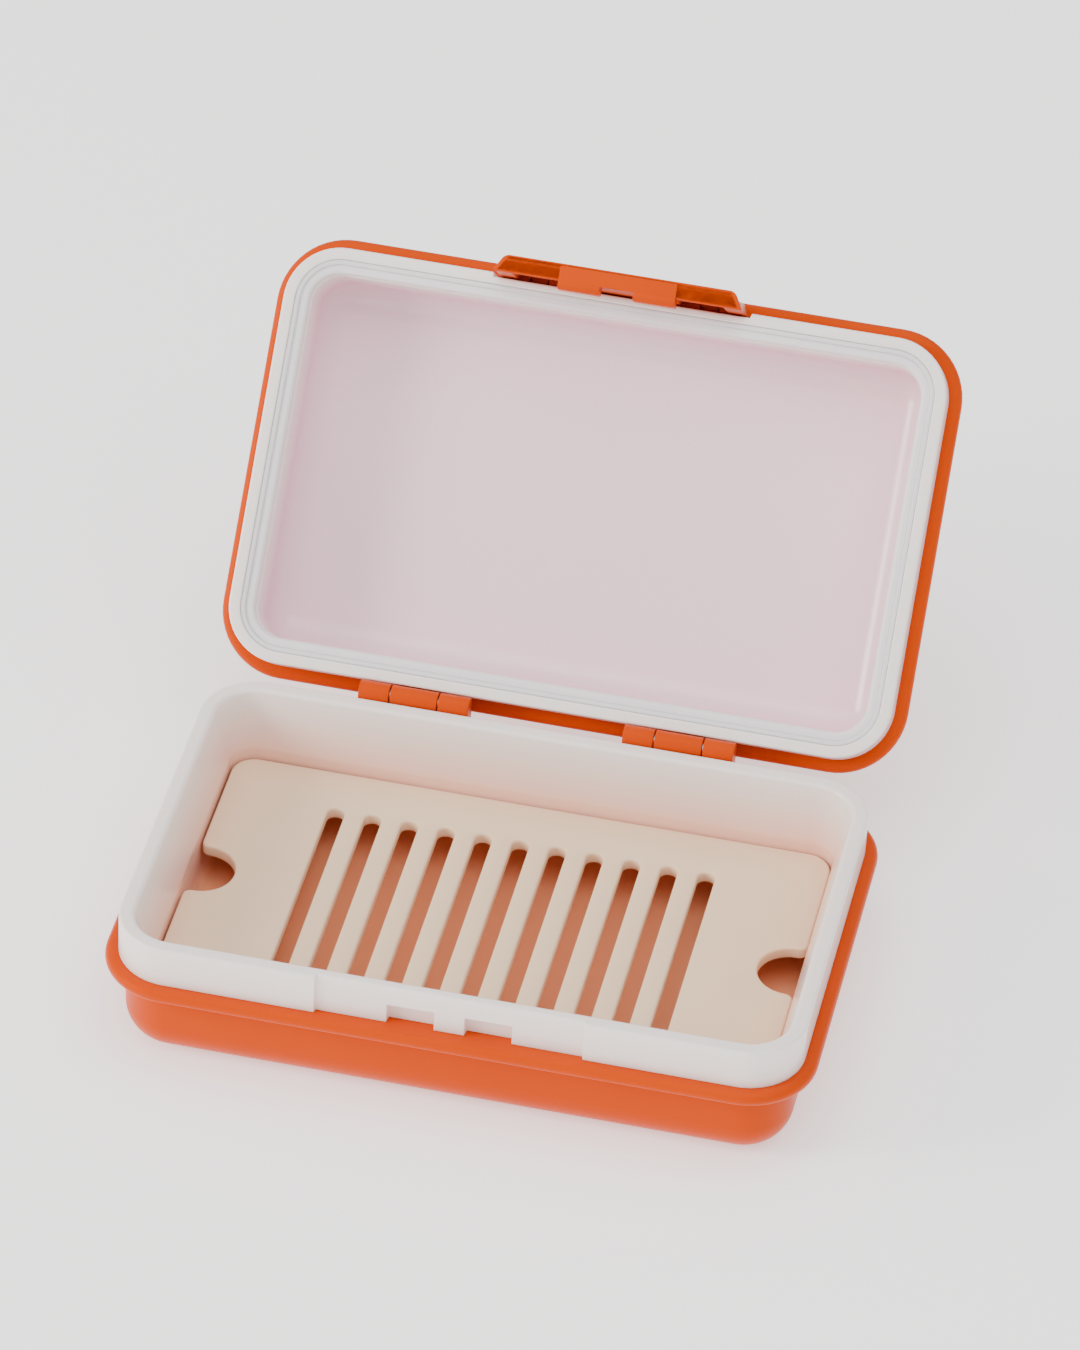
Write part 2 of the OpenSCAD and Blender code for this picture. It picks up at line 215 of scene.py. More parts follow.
@dataclass(frozen=True)
class Moulded(Finish):
    """Injection-moulded plastic or rubber.

    The skin copies its steel mould: a fine even grain, a slow waviness where the wall
    shrank as it cooled, and a cloudy change of gloss from one patch to the next.
    """

    cloud: str
    roughness: float
    gloss_spread: float = 0.05
    ior: float = 1.49
    gleam: float = 0.5
    gleam_tint: str = "#ffffff"
    grain_mm: float = 0.5
    grain_depth_mm: float = 0.006
    wave_mm: float = 22.0
    wave_depth_mm: float = 0.02
    cloud_mm: float = 14.0
    scatter: float = 0.0
    scatter_mm: tuple[float, float, float] = (1.6, 1.0, 0.8)
    through: str | None = None

    def shader(
        self, tree: bpy.types.NodeTree, place: bpy.types.NodeSocket
    ) -> bpy.types.Node:
        """Adds the nodes of the plastic.

        Args:
            tree: node tree of the material.
            place: coordinates that its patterns read.

        Returns:
            The shader node.
        """
        cloud = add_noise(tree, place, self.cloud_mm, detail=2.0)
        tint = add_node(tree, "ShaderNodeMix", links={"Factor": cloud}, data_type="RGBA")
        for name, colour in (("A", self.colour), ("B", self.cloud)):
            self._colour_socket(tint, name).default_value = linear(colour)
        colour = tint.outputs[2]
        if self.through:
            colour = self._show_through(tree, colour)
        gloss = add_node(
            tree,
            "ShaderNodeMapRange",
            {
                "To Min": self.roughness - self.gloss_spread,
                "To Max": self.roughness + self.gloss_spread,
            },
            {"Value": cloud},
        )
        return add_node(
            tree,
            "ShaderNodeBsdfPrincipled",
            {
                "IOR": self.ior,
                "Specular IOR Level": self.gleam,
                "Specular Tint": linear(self.gleam_tint),
                "Subsurface Weight": self.scatter,
                "Subsurface Radius": self.scatter_mm,
                "Subsurface Scale": MM,
            },
            {
                "Base Color": colour,
                "Roughness": gloss.outputs[0],
                "Normal": self._relief(tree, place),
            },
        )

    @staticmethod
    def _colour_socket(mix: bpy.types.Node, name: str) -> bpy.types.NodeSocket:
        """Finds a colour input of a mix node, which has inputs of one name and many kinds.

        Args:
            mix: mix node.
            name: name of the input.

        Returns:
            The input of that name that takes a colour.
        """
        return next(s for s in mix.inputs if s.name == name and s.type == "RGBA")

    def _relief(
        self, tree: bpy.types.NodeTree, place: bpy.types.NodeSocket
    ) -> bpy.types.NodeSocket:
        """Stacks the mould's grain on the slow waviness of the wall.

        Args:
            tree: node tree of the material.
            place: coordinates that the noise reads.

        Returns:
            The socket with the bent normal.
        """
        wave = add_node(
            tree,
            "ShaderNodeBump",
            {"Distance": self.wave_depth_mm * MM, "Strength": 1.0},
            {"Height": add_noise(tree, place, self.wave_mm, detail=1.0)},
        )
        grain = add_node(
            tree,
            "ShaderNodeBump",
            {"Distance": self.grain_depth_mm * MM, "Strength": 1.0},
            {
                "Height": add_noise(tree, place, self.grain_mm, detail=3.0),
                "Normal": wave.outputs["Normal"],
            },
        )
        return grain.outputs["Normal"]

    def _show_through(
        self, tree: bpy.types.NodeTree, colour: bpy.types.NodeSocket
    ) -> bpy.types.NodeSocket:
        """Mixes in the case's colour where the thin wall lies on the case.

        Args:
            tree: node tree of the material.
            colour: colour of the plastic itself.

        Returns:
            The socket with the mixed colour.
        """
        # On the base liner this mix also paints bounce light on the rim and shade on the floor
        backing = add_node(tree, "ShaderNodeAttribute", attribute_name="backing")
        mix = add_node(
            tree, "ShaderNodeMix", links={"Factor": backing.outputs["Fac"]}, data_type="RGBA"
        )
        tree.links.new(colour, self._colour_socket(mix, "A"))
        self._colour_socket(mix, "B").default_value = linear(self.through)
        return mix.outputs[2]


@dataclass(frozen=True)
class DrawnWire(Finish):
    """Drawn steel wire: bright metal with fine lines along its length."""

    roughness: float = 0.3
    gloss_spread: float = 0.1
    line_mm: float = 0.25
    line_depth_mm: float = 0.004
    line_squeeze: float = 0.05

    def shader(
        self, tree: bpy.types.NodeTree, place: bpy.types.NodeSocket
    ) -> bpy.types.Node:
        """Adds the nodes of the metal.

        Args:
            tree: node tree of the material.
            place: coordinates that its patterns read.

        Returns:
            The shader node.
        """
        along = add_node(
            tree,
            "ShaderNodeMapping",
            {"Scale": (self.line_squeeze, 1.0, 1.0)},
            {"Vector": place},
        )
        lines = add_noise(tree, along.outputs[0], self.line_mm, detail=2.0)
        gloss = add_node(
            tree,
            "ShaderNodeMapRange",
            {
                "To Min": self.roughness - self.gloss_spread,
                "To Max": self.roughness + self.gloss_spread,
            },
            {"Value": lines},
        )
        bump = add_node(
            tree,
            "ShaderNodeBump",
            {"Distance": self.line_depth_mm * MM},
            {"Height": lines},
        )
        return add_node(
            tree,
            "ShaderNodeBsdfPrincipled",
            {"Base Color": linear(self.colour), "Metallic": 1.0},
            {"Roughness": gloss.outputs[0], "Normal": bump.outputs["Normal"]},
        )


# Polypropylene from a spark-eroded mould: a satin skin that spreads each highlight
CASE_PP = Moulded(
    "orange_moulded_polypropylene",
    colour="#cc4400",
    cloud="#c64000",
    roughness=0.36,
    gleam=0.18,
    gleam_tint="#ff7a30",
)
# Natural white polypropylene from a polished mould: glossy and slightly see-through,
# so the case behind it warms its colour
LID_LINER_PP = Moulded(
    "white_polypropylene_over_lid",
    colour="#fbf2ed",
    cloud="#f9eee9",
    roughness=0.22,
    grain_depth_mm=0.002,
    scatter=0.3,
    through="#f8cbda",
)
# The same plastic in the base, with a darker orange that is partly the case showing through and
# partly painted shade on the floor under the tray
BASE_LINER_PP = replace(
    LID_LINER_PP, name="white_polypropylene_over_base", through="#f2a078"
)
# Cream polypropylene with a fine matt grain that wet soap doesn't stick to
TRAY_PP = Moulded(
    "cream_moulded_polypropylene",
    colour="#eed1b2",
    cloud="#e9caa8",
    roughness=0.5,
    grain_depth_mm=0.008,
    scatter=0.2,
)
# Clear silicone rubber, milky where it is thick
SEAL_SILICONE = Moulded(
    "clear_silicone_rubber",
    colour="#efebec",
    cloud="#ebe6e8",
    roughness=0.3,
    ior=1.41,
    grain_depth_mm=0.002,
    scatter=0.5,
    scatter_mm=(2.5, 2.2, 2.0),
)
# Stainless wire for the hinge and latch pins
PIN_WIRE = DrawnWire("drawn_stainless_wire", colour="#b9bcc0")


# Profiles


@dataclass(frozen=True)
class Corner:
    """Corner of a profile, rounded by a radius in a number of steps.

    Radii up to 0.3 mm only break an edge, as a mould does.
    """

    x: float
    y: float
    radius: float = 0.0
    steps: int = 4


def rounded(corners: Sequence[Corner], closed: bool = False) -> np.ndarray:
    """Polyline with an arc at each corner and a support point on both sides of it.

    An arc of radius r in a corner of angle a starts r / tan(a / 2) from the corner, and
    its middle lies r / sin(a / 2) from it on the bisector. The support points keep the
    shading of the flats beside an arc flat. Profiles with the same numbers of corners
    and steps have the same number of points, so that they can be blended.

    Args:
        corners: corners in order; the ends of an open profile stay sharp.
        closed: whether the last corner joins the first.

    Returns:
        Points of shape (n, 2).
    """
    at = np.array([(c.x, c.y) for c in corners])
    edge = np.roll(at, -1, axis=0) - at
    length = np.maximum(np.linalg.norm(edge, axis=1), 1e-9)
    ahead = edge / length[:, None]
    back = -np.roll(ahead, 1, axis=0)
    half = np.arccos(np.clip(np.sum(back * ahead, axis=1), -1, 1)) / 2
    radius = np.array([c.radius for c in corners])
    sharp = (radius <= 0) | (half > math.pi / 2 - 1e-4) | (half < 1e-4)
    if not closed:
        sharp[[0, -1]] = True
    tangent = np.where(sharp, 0.0, radius / np.tan(np.where(sharp, 1.0, half)))
    free = np.maximum(length - tangent - np.roll(tangent, -1), 0)
    support = np.minimum(SUPPORT, SUPPORT_SHARE * free)
    runs = []
    for i, corner in enumerate(corners):
        if not closed and i in (0, len(corners) - 1):
            runs.append(at[i : i + 1])
            continue
        start, end = at[i] + back[i] * tangent[i], at[i] + ahead[i] * tangent[i]
        if sharp[i]:
            arc = np.repeat(at[i : i + 1], corner.steps + 1, axis=0)
        else:
            bisector = (back[i] + ahead[i]) / np.hypot(*(back[i] + ahead[i]))
            middle = at[i] + bisector * corner.radius / math.sin(half[i])
            turn = math.pi - 2 * half[i]
            t = np.linspace(0, turn, corner.steps + 1)[:, None]
            spread = np.sin(turn - t) * (start - middle) + np.sin(t) * (end - middle)
            arc = middle + spread / math.sin(turn)
        before, after = back[i] * support[i - 1], ahead[i] * support[i]
        runs.append(np.vstack([start + before, arc, end + after]))
    return np.vstack(runs)


def inset(loop: np.ndarray, depth: float) -> np.ndarray:
    """Moves each point of a closed loop inwards along the mean of its edges' normals.

    Points that lie on one another move together: each takes the nearest edges before
    and after it that have a length.

    Args:
        loop: points of shape (n, 2), anticlockwise.
        depth: distance moved.

    Returns:
        The moved points.
    """
    ahead = np.roll(loop, -1, axis=0) - loop
    length = np.linalg.norm(ahead, axis=1, keepdims=True)
    normal = np.stack([ahead[:, 1], -ahead[:, 0]], axis=1) / np.maximum(length, 1e-9)
    real = np.flatnonzero(length[:, 0] > 1e-6)
    after = np.searchsorted(real, np.arange(len(loop)))
    mean = normal[real[after % len(real)]] + normal[real[after - 1]]
    mean /= np.maximum(np.linalg.norm(mean, axis=1, keepdims=True), 1e-9)
    return loop - mean * depth


def smooth(t: np.ndarray) -> np.ndarray:
    """S-curve from 0 to 1 that is level at both ends.

    Args:
        t: place along the curve, cut off below 0 and above 1.

    Returns:
        3t^2 - 2t^3 at each place.
    """
    t = np.clip(t, 0, 1)
    return t * t * (3 - 2 * t)


def soft_box(v: np.ndarray, middle: float, half: float, soft: float) -> np.ndarray:
    """Box function with soft edges.

    Args:
        v: places to look at.
        middle: middle of the box.
        half: distance from the middle to the halfway point of either edge.
        soft: width of an edge.

    Returns:
        1 inside the box, 0 outside and an S-curve across each edge.
    """
    return smooth((half - np.abs(v - middle)) / soft + 0.5)


def samples(
    half: float, pitch: float, edges: Sequence[float] = (), soft: float = 0.4
) -> np.ndarray:
    """Sample places from -half to half, close together at soft edges.

    A soft edge gets samples across its width and one on either side of it.

    Args:
        half: distance from the middle to either end.
        pitch: largest gap between samples.
        edges: places of soft edges, each used on both sides of the middle.
        soft: width of a soft edge.

    Returns:
        Sorted places without near doubles.
    """
    even = np.linspace(-half, half, math.ceil(2 * half / pitch) + 1)
    near = np.outer([1, -1], edges).ravel()
    fine = (near[:, None] + soft * np.array(EDGE_PLACES)).ravel()
    clear = np.abs(even[:, None] - near).min(axis=1, initial=half) > EDGE_CLEAR * soft
    clear[[0, -1]] = True
    places = np.unique(np.round(np.concatenate([even[clear], fine]), 4))
    places = places[np.abs(places) <= half + 1e-6]
    return places[np.diff(places, prepend=-2 * half) > LEAST_GAP]


def quarter_round(edge: float, steps: int = 3) -> tuple[np.ndarray, np.ndarray]:
    """Rounding of an edge by a quarter of a circle.

    Args:
        edge: radius of the rounding.
        steps: steps round the quarter.

    Returns:
        Depth under the side, edge * (1 - sin t), and distance from the end,
        edge * (1 - cos t), at each step, from the end inwards.
    """
    t = np.linspace(0, math.pi / 2, steps + 1)
    return edge * (1 - np.sin(t)), edge * (1 - np.cos(t))


# Surfaces


@dataclass
class Sheet:
    """Grid of points with the quads between them.

    Attributes:
        points: array of shape (n, m, 3), in millimetres.
        wrap_u: whether the last row joins the first.
        wrap_v: whether the last column joins the first.
        backing: how much the case shows through, which in the base liner also carries painted
            bounce light and painted shade, of shape (n, m), or None.
    """

    points: np.ndarray
    wrap_u: bool = False
    wrap_v: bool = False
    backing: np.ndarray | None = None

    def quads(self, start: int) -> np.ndarray:
        """Numbers the corners of each quad.

        Args:
            start: number of the first point.

        Returns:
            Whole numbers of shape (quads, 4).
        """
        n, m = self.points.shape[:2]
        index = start + np.arange(n * m).reshape(n, m)
        if self.wrap_u:
            index = np.vstack([index, index[:1]])
        if self.wrap_v:
            index = np.hstack([index, index[:, :1]])
        return np.stack(
            [index[:-1, :-1], index[1:, :-1], index[1:, 1:], index[:-1, 1:]], axis=-1
        ).reshape(-1, 4)


@dataclass
class Fill:
    """Flat cap: triangles over an outline, which may have holes.

    Attributes:
        points: array of shape (n, 3), in millimetres.
        triangles: numbers of their corners, of shape (m, 3).
    """

    points: np.ndarray
    triangles: np.ndarray


def fill(loops: Sequence[np.ndarray], place: float, axis: Axis) -> Fill:
    """Caps loops in one plane, the first being the outline and the others holes.

    A point that lies on the one before it is left out of the triangles.

    Args:
        loops: arrays of shape (n, 2) in the plane, which is square to the axis.
        place: place of the plane along the axis.
        axis: Z for loops in X and Y, X for loops in Y and Z.

    Returns:
        The cap.
    """
    rings, numbers, start = [], [], 0
    for loop in loops:
        apart = np.linalg.norm(loop - np.roll(loop, 1, axis=0), axis=1) > 1e-4
        rings.append([Vector((*point, 0.0)) for point in loop[apart]])
        numbers.append(start + np.flatnonzero(apart))
        start += len(loop)
    triangles = np.concatenate(numbers)[np.array(tessellate_polygon(rings))]
    flat, plane = np.vstack(loops), np.full((start, 1), place)
    points = np.hstack([flat, plane] if axis is Axis.Z else [plane, flat])
    return Fill(points, triangles)


class Round:
    """Closed path round the box, on which half sections are carried.

    The path runs along the core rectangle that joins the middles of the rounded corners.
    A point of a half section at distance r lies at path point + r * outward normal. At a
    corner the path stands still and the normal turns through a right angle.
    """

    def __init__(self, xs: np.ndarray, ys: np.ndarray, steps: int = 14) -> None:
        """Lays the path through the sample places.

        Args:
            xs: sorted places along the long sides.
            ys: sorted places along the short sides.
            steps: steps round each corner.
        """
        self.xs, self.ys = xs, ys
        right, top = xs[-1], ys[-1]
        quarter = np.linspace(0, math.pi / 2, steps + 1)[1:-1]
        feet, normals = [], []
        sides = (
            (np.full_like(ys, right), ys, 0.0, (right, top)),
            (xs[::-1], np.full_like(xs, top), 90.0, (-right, top)),
            (np.full_like(ys, -right), ys[::-1], 180.0, (-right, -top)),
            (xs, np.full_like(xs, -top), 270.0, (right, -top)),
        )
        for x, y, degrees, corner in sides:
            start = math.radians(degrees)
            turn = np.concatenate([np.full(len(x), start), start + quarter])
            feet.append(np.stack([x, y], axis=1))
            feet.append(np.tile(corner, (len(quarter), 1)))
            normals.append(np.stack([np.cos(turn), np.sin(turn)], axis=1))
        self.feet = np.vstack(feet)
        self.normals = np.vstack(normals)

    def facing(self, x: float, y: float) -> np.ndarray:
        """Tells the path points whose normal is a given one.

        Args:
            x: the normal's part along the box.
            y: its part across the box.

        Returns:
            True at those points.
        """
        return self.normals @ (x, y) > 1 - 1e-6

    def carry(
        self, sections: Sequence[np.ndarray], weights: Sequence[np.ndarray]
    ) -> np.ndarray:
        """Carries blended half sections round the path.

        Args:
            sections: arrays of shape (m, 2) of distance and height, all alike in length.
            weights: one array per section with its share at each path point.

        Returns:
            Points of shape (n, m, 3): foot + distance * normal, and height.
        """
        share = np.stack(weights, axis=1)
        blend = np.einsum("nk,kmc->nmc", share, np.stack(sections))
        flat = self.feet[:, None, :] + blend[..., :1] * self.normals[:, None, :]
        return np.concatenate([flat, blend[..., 1:]], axis=2)

    def floor(self, height: Callable[[np.ndarray, np.ndarray], np.ndarray]) -> np.ndarray:
        """Grid over the core rectangle, whose edge is the path.

        Args:
            height: gives the height at each place (x, y).

        Returns:
            Points of shape (n, m, 3).
        """
        x, y = np.meshgrid(self.xs, self.ys, indexing="ij")
        return np.stack([x, y, height(x, y)], axis=-1)


def level(z: float) -> Callable[[np.ndarray, np.ndarray], np.ndarray]:
    """Height function of a flat floor.

    Args:
        z: height of the floor.

    Returns:
        A function of the places (x, y) that gives z everywhere.
    """
    return lambda x, y: np.full_like(x, z)


def bar(loop: np.ndarray, x0: float, x1: float, edge: float = 0.15) -> list[Sheet | Fill]:
    """Closed profile in Y and Z carried along X, with rounded end edges.

    Args:
        loop: anticlockwise points of shape (n, 2).
        x0: lower end.
        x1: upper end.
        edge: radius of the end edges.

    Returns:
        The side surface and two caps.
    """
    depth, step = quarter_round(edge)
    places = np.concatenate([x0 + step, (x1 - step)[::-1]])
    loops = [inset(loop, d) for d in np.concatenate([depth, depth[::-1]])]
    grid = np.stack(
        [np.column_stack([np.full(len(loop), x), ring]) for x, ring in zip(places, loops)]
    )
    ends = [fill([loops[0]], x0, Axis.X), fill([loops[-1]], x1, Axis.X)]
    return [Sheet(grid, wrap_v=True), *ends]


@dataclass(frozen=True)
class Turn:
    """Turn about an axis that lies along X, from shut to the rest pose."""

    axis_y: float
    axis_z: float
    angle: float

    def apply(self, points: np.ndarray) -> np.ndarray:
        """Turns points of shape (..., 3) by the angle about the axis.

        Args:
            points: points in millimetres, shut.

        Returns:
            The turned points: y' = y cos a - z sin a and z' = y sin a + z cos a.
        """
        c, s = math.cos(self.angle), math.sin(self.angle)
        y, z = points[..., 1] - self.axis_y, points[..., 2] - self.axis_z
        return np.stack(
            [points[..., 0], self.axis_y + y * c - z * s, self.axis_z + y * s + z * c],
            axis=-1,
        )


def join(
    name: str, parts: Sequence[Sheet | Fill], turn: Turn | None = None
) -> bpy.types.Mesh:
    """Joins surfaces into the mesh of one piece.

    Args:
        name: name of the mesh.
        parts: surfaces and caps that share their borders.
        turn: turn from shut to the rest pose, or None.

    Returns:
        The mesh, made of closed shells whose faces look outwards.
    """
    points, quads, triangles, backing = [], [], [], []
    count = 0
    for part in parts:
        flat = part.points.reshape(-1, 3)
        if isinstance(part, Sheet):
            quads.append(part.quads(count))
            shown = part.backing
        else:
            triangles.append(part.triangles + count)
            shown = None
        backing.append(np.zeros(len(flat)) if shown is None else shown.ravel())
        points.append(flat)
        count += len(flat)
    places = np.vstack(points)
    if turn:
        places = turn.apply(places)
    four = np.vstack(quads) if quads else np.zeros((0, 4), int)
    three = np.vstack(triangles) if triangles else np.zeros((0, 3), int)
    mesh = bpy.data.meshes.new(name)
    mesh.vertices.add(count)
    mesh.vertices.foreach_set("co", (places * MM).astype(np.float32).ravel())
    mesh.loops.add(four.size + three.size)
    mesh.loops.foreach_set("vertex_index", np.concatenate([four.ravel(), three.ravel()]))
    starts = np.concatenate(
        [np.arange(len(four)) * 4, four.size + np.arange(len(three)) * 3]
    )
    mesh.polygons.add(len(starts))
    mesh.polygons.foreach_set("loop_start", starts)
    mesh.update(calc_edges=True)
    shade = mesh.attributes.new("backing", "FLOAT", "POINT")
    shade.data.foreach_set("value", np.concatenate(backing).astype(np.float32))
    close_seams(mesh)
    return mesh


def make_piece(
    name: str,
    parts: Sequence[Sheet | Fill],
    finish: Finish,
    slot: Slot,
    body: Body,
    stands_for: Sequence[str],
    turn: Turn | None = None,
    sharp_deg: float = 38.0,
) -> bpy.types.Object:
    """Makes one closed piece, finishes it and hangs it on its body.

    Args:
        name: name of the piece.
        parts: surfaces and caps that share their borders.
        finish: finish of the whole piece.
        slot: material slot of the record; not used.
        body: body that the piece moves with.
        stands_for: CAD nodes that the piece replaces.
        turn: turn from shut to the rest pose, or None.
        sharp_deg: edges that turn by more than this stay sharp.

    Returns:
        The piece.
    """
    mesh = join(name, parts, turn)
    mesh.shade_smooth()
    mesh.set_sharp_from_angle(angle=math.radians(sharp_deg))
    mesh.materials.append(finish.material())
    piece = bpy.data.objects.new(name, mesh)
    bpy.context.scene.collection.objects.link(piece)
    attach(piece, body.value)
    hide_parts(*stands_for)
    LOG.info("%s: %d faces on %s", name, len(mesh.polygons), body.value)
    return piece


def close_seams(mesh: bpy.types.Mesh) -> None:
    """Merges the doubles where surfaces meet and points all faces outwards.

    A closed shell faces outwards when its signed volume, the sum of p0 . (p1 x p2) / 6
    over its triangles, is above zero. Any other shell is turned inside out.

    Args:
        mesh: mesh of one or more closed shells.
    """
    work = bmesh.new()
    work.from_mesh(mesh)
    bmesh.ops.remove_doubles(work, verts=work.verts, dist=DOUBLE * MM)
    bmesh.ops.dissolve_degenerate(work, edges=work.edges, dist=DOUBLE * MM / 6)
    bmesh.ops.recalc_face_normals(work, faces=work.faces)
    left = set(work.faces)
    while left:
        shell, reached = [], [left.pop()]
        while reached:
            face = reached.pop()
            shell.append(face)
            near = {other for edge in face.edges for other in edge.link_faces} & left
            left -= near
            reached.extend(near)
        if sum(signed_volume(face) for face in shell) < 0:
            bmesh.ops.reverse_faces(work, faces=shell)
    work.to_mesh(mesh)
    work.free()
    mesh.validate()


def signed_volume(face: bmesh.types.BMFace) -> float:
    """Volume between a face and the origin.

    Args:
        face: face of three or more corners.

    Returns:
        The volume, negative where the face looks towards the origin.
    """
    first, *others = (vert.co for vert in face.verts)
    return sum(first.dot(a.cross(b)) for a, b in zip(others, others[1:])) / 6


# Sizes


@dataclass(frozen=True)
class Case:
    """Sizes that all the sub-assemblies share, with the box shut."""

    length: float = 125.0
    width: float = 80.0
    corner_r: float = 12.5
    flange_reach: float = 3.6
    flange_t: float = 2.5
    flange_round: float = 1.2
    fillet: float = 1.2
    base_h: float = 18.0
    base_rim_h: float = 8.0
    lid_rim_h: float = 6.0
    lid_h: float = 14.8
    rim_inset: float = 2.3
    rim_round: float = 0.4
    liner_gap: float = 0.2
    pocket: float = 3.1
    pocket_half: float = 23.4
    recess_half: float = 4.05
    recess_x: float = 6.8

    @property
    def cx(self) -> float:
        """Half length of the core rectangle."""
        return self.length / 2 - self.corner_r

    @property
    def cy(self) -> float:
        """Half width of the core rectangle."""
        return self.width / 2 - self.corner_r

    @property
    def wall_r(self) -> float:
        """Distance of the outer wall from the core rectangle."""
        return self.corner_r - self.flange_reach

    @property
    def rim_r(self) -> float:
        """Distance of the white rims from the core rectangle."""
        return self.corner_r - self.rim_inset

    @property
    def pocket_r(self) -> float:
        """Distance of the flat behind the latch from the core rectangle."""
        return self.corner_r - self.pocket

    @property
    def z_part(self) -> float:
        """Height at which the two rims meet."""
        return self.base_h + self.base_rim_h

    @property
    def z_lid(self) -> float:
        """Height of the lid flange's lower face."""
        return self.z_part + self.lid_rim_h

    @property
    def z_top(self) -> float:
        """Height of the lid's shoulders."""
        return self.z_lid + self.lid_h

    @property
    def pocket_edges(self) -> tuple[float, ...]:
        """Places along X where the front rim steps in for the latch and its hooks."""
        inner = self.recess_x - self.recess_half
        outer = self.recess_x + self.recess_half
        return (inner, outer, self.pocket_half)


CASE = Case()


def joint_row(name: str) -> dict:
    """Finds a joint of the frame.

    Args:
        name: name of the joint.

    Returns:
        The row of the record that holds its axis and range.
    """
    return next(row for row in frame["joints"] if row["name"] == name)


def lid_open() -> Turn:
    """Turn that takes the shut lid to its stops, where it rests.

    Returns:
        The turn, about the hinge axis of the frame.
    """
    row = joint_row("lid_hinge")
    _, y, z = row["pos_m"]
    return Turn(y / MM, z / MM, -math.radians(row["range_deg"][1]))


# Sub-assemblies


def slab(
    outline: np.ndarray, holes: Sequence[np.ndarray], z0: float, z1: float, edge: float
) -> list[Sheet | Fill]:
    """Plate with holes whose upper and lower edges are rounded.

    Each outline is carried from z0 to z1, and drawn into the material at both faces.

    Args:
        outline: anticlockwise points of shape (n, 2).
        holes: anticlockwise outlines of the holes.
        z0: lower face.
        z1: upper face.
        edge: radius of the edges.

    Returns:
        The walls and the two faces.
    """
    depth, rise = quarter_round(edge)
    heights = np.concatenate([z0 + rise, (z1 - rise)[::-1]])
    depths = np.concatenate([depth, depth[::-1]])
    walls = []
    for loop, side in [(outline, 1.0), *((hole, -1.0) for hole in holes)]:
        rings = [
            np.column_stack([inset(loop, side * d), np.full(len(loop), z)])
            for d, z in zip(depths, heights)
        ]
        walls.append(Sheet(np.stack(rings), wrap_v=True))
    faces = [
        fill([wall.points[row, :, :2] for wall in walls], z, Axis.Z)
        for row, z in ((0, z0), (-1, z1))
    ]
    return [*walls, *faces]


def rod(
    axis: Axis, at: tuple[float, float], low: float, high: float, radius: float, edge: float
) -> Sheet:
    """Round rod: a half section turned about a line.

    A point at distance r and turn t lies at (u + r cos t, v + r sin t) in the plane
    square to the line, where (u, v) is the line's own place.

    Args:
        axis: X for a line along the box, Z for an upright one.
        at: place of the line, (y, z) or (x, y).
        low: lower end along the line.
        high: upper end.
        radius: radius of the rod.
        edge: radius of its end edges.

    Returns:
        The surface.
    """
    turns = ((0, low), (radius, low, edge), (radius, high, edge), (0, high))
    half = rounded([Corner(*turn) for turn in turns])
    t = np.linspace(0, 2 * math.pi, 33)[:-1, None]
    r = half[:, 0]
    flat = [at[0] + r * np.cos(t), at[1] + r * np.sin(t)]
    along = np.broadcast_to(half[:, 1], (len(t), len(half)))
    return Sheet(
        np.stack([*flat, along] if axis is Axis.Z else [along, *flat], axis=-1), wrap_u=True
    )


@dataclass(frozen=True)
class Hinges:
    """Rear hinges: knuckles on both halves and the stop that holds the lid open."""

    span: float = 48.0
    width: float = 20.0
    knuckle_w: float = 5.5
    radius: float = 1.9
    clear: float = 0.2
    gap: float = 0.25
    edge: float = 0.4
    heel_round: float = 0.2
    stop_round: float = 0.15
    stop_in: float = 0.5
    stop_gap: float = 0.1

    @property
    def y(self) -> float:
        """Place of the axis across the box."""
        return CASE.width / 2 - CASE.rim_inset + self.clear + self.radius

    @property
    def z(self) -> float:
        """Height of the axis."""
        return CASE.z_part

    @property
    def middles(self) -> tuple[float, float]:
        """Middles of the two hinges along the box."""
        return (-self.span / 2, self.span / 2)

    def stop_z(self) -> float:
        """Height of the stop, on which the open lid's knuckle leans."""
        half = math.radians(joint_row("lid_hinge")["range_deg"][1]) / 2
        return self.z - self.radius * math.tan(half) - self.stop_gap

    def base_parts(self) -> list[Sheet | Fill]:
        """Two knuckles and a stop for each hinge, rising from the base's flange."""
        rear, front = self.y + self.radius, self.y - self.radius
        under = CASE.base_h - CASE.flange_t
        foot = [
            Corner(front, under),
            Corner(CASE.width / 2 - CASE.flange_t / 2, under, self.heel_round),
            Corner(rear, CASE.base_h - CASE.flange_t / 2, self.edge),
        ]
        knuckle, stop = (
            rounded([*foot, Corner(rear, *top), Corner(front, *top)], closed=True)
            for top in (
                (self.z + self.radius, self.radius, 8),
                (self.stop_z(), self.stop_round),
            )
        )
        parts = []
        for x in self.middles:
            for side in (-1, 1):
                middle = x + side * (self.width - self.knuckle_w) / 2
                parts += bar(knuckle, middle - self.knuckle_w / 2, middle + self.knuckle_w / 2)
            half = self.width / 2 - self.stop_in
            parts += bar(stop, x - half, x + half)
        return parts

    def lid_parts(self) -> list[Sheet | Fill]:
        """One knuckle for each hinge, hanging from the lid's flange."""
        half = self.width / 2 - self.knuckle_w - self.gap
        rear, front = self.y + self.radius, self.y - self.radius
        over = CASE.z_lid + CASE.flange_t
        knuckle = rounded(
            [
                Corner(front, self.z - self.radius, self.radius, 8),
                Corner(rear, self.z - self.radius, self.radius, 8),
                Corner(rear, CASE.z_lid + CASE.flange_t / 2, self.edge),
                Corner(CASE.width / 2 - CASE.flange_t / 2, over, self.heel_round),
                Corner(front, over),
            ],
            closed=True,
        )
        return [part for x in self.middles for part in bar(knuckle, x - half, x + half)]


HINGES = Hinges()


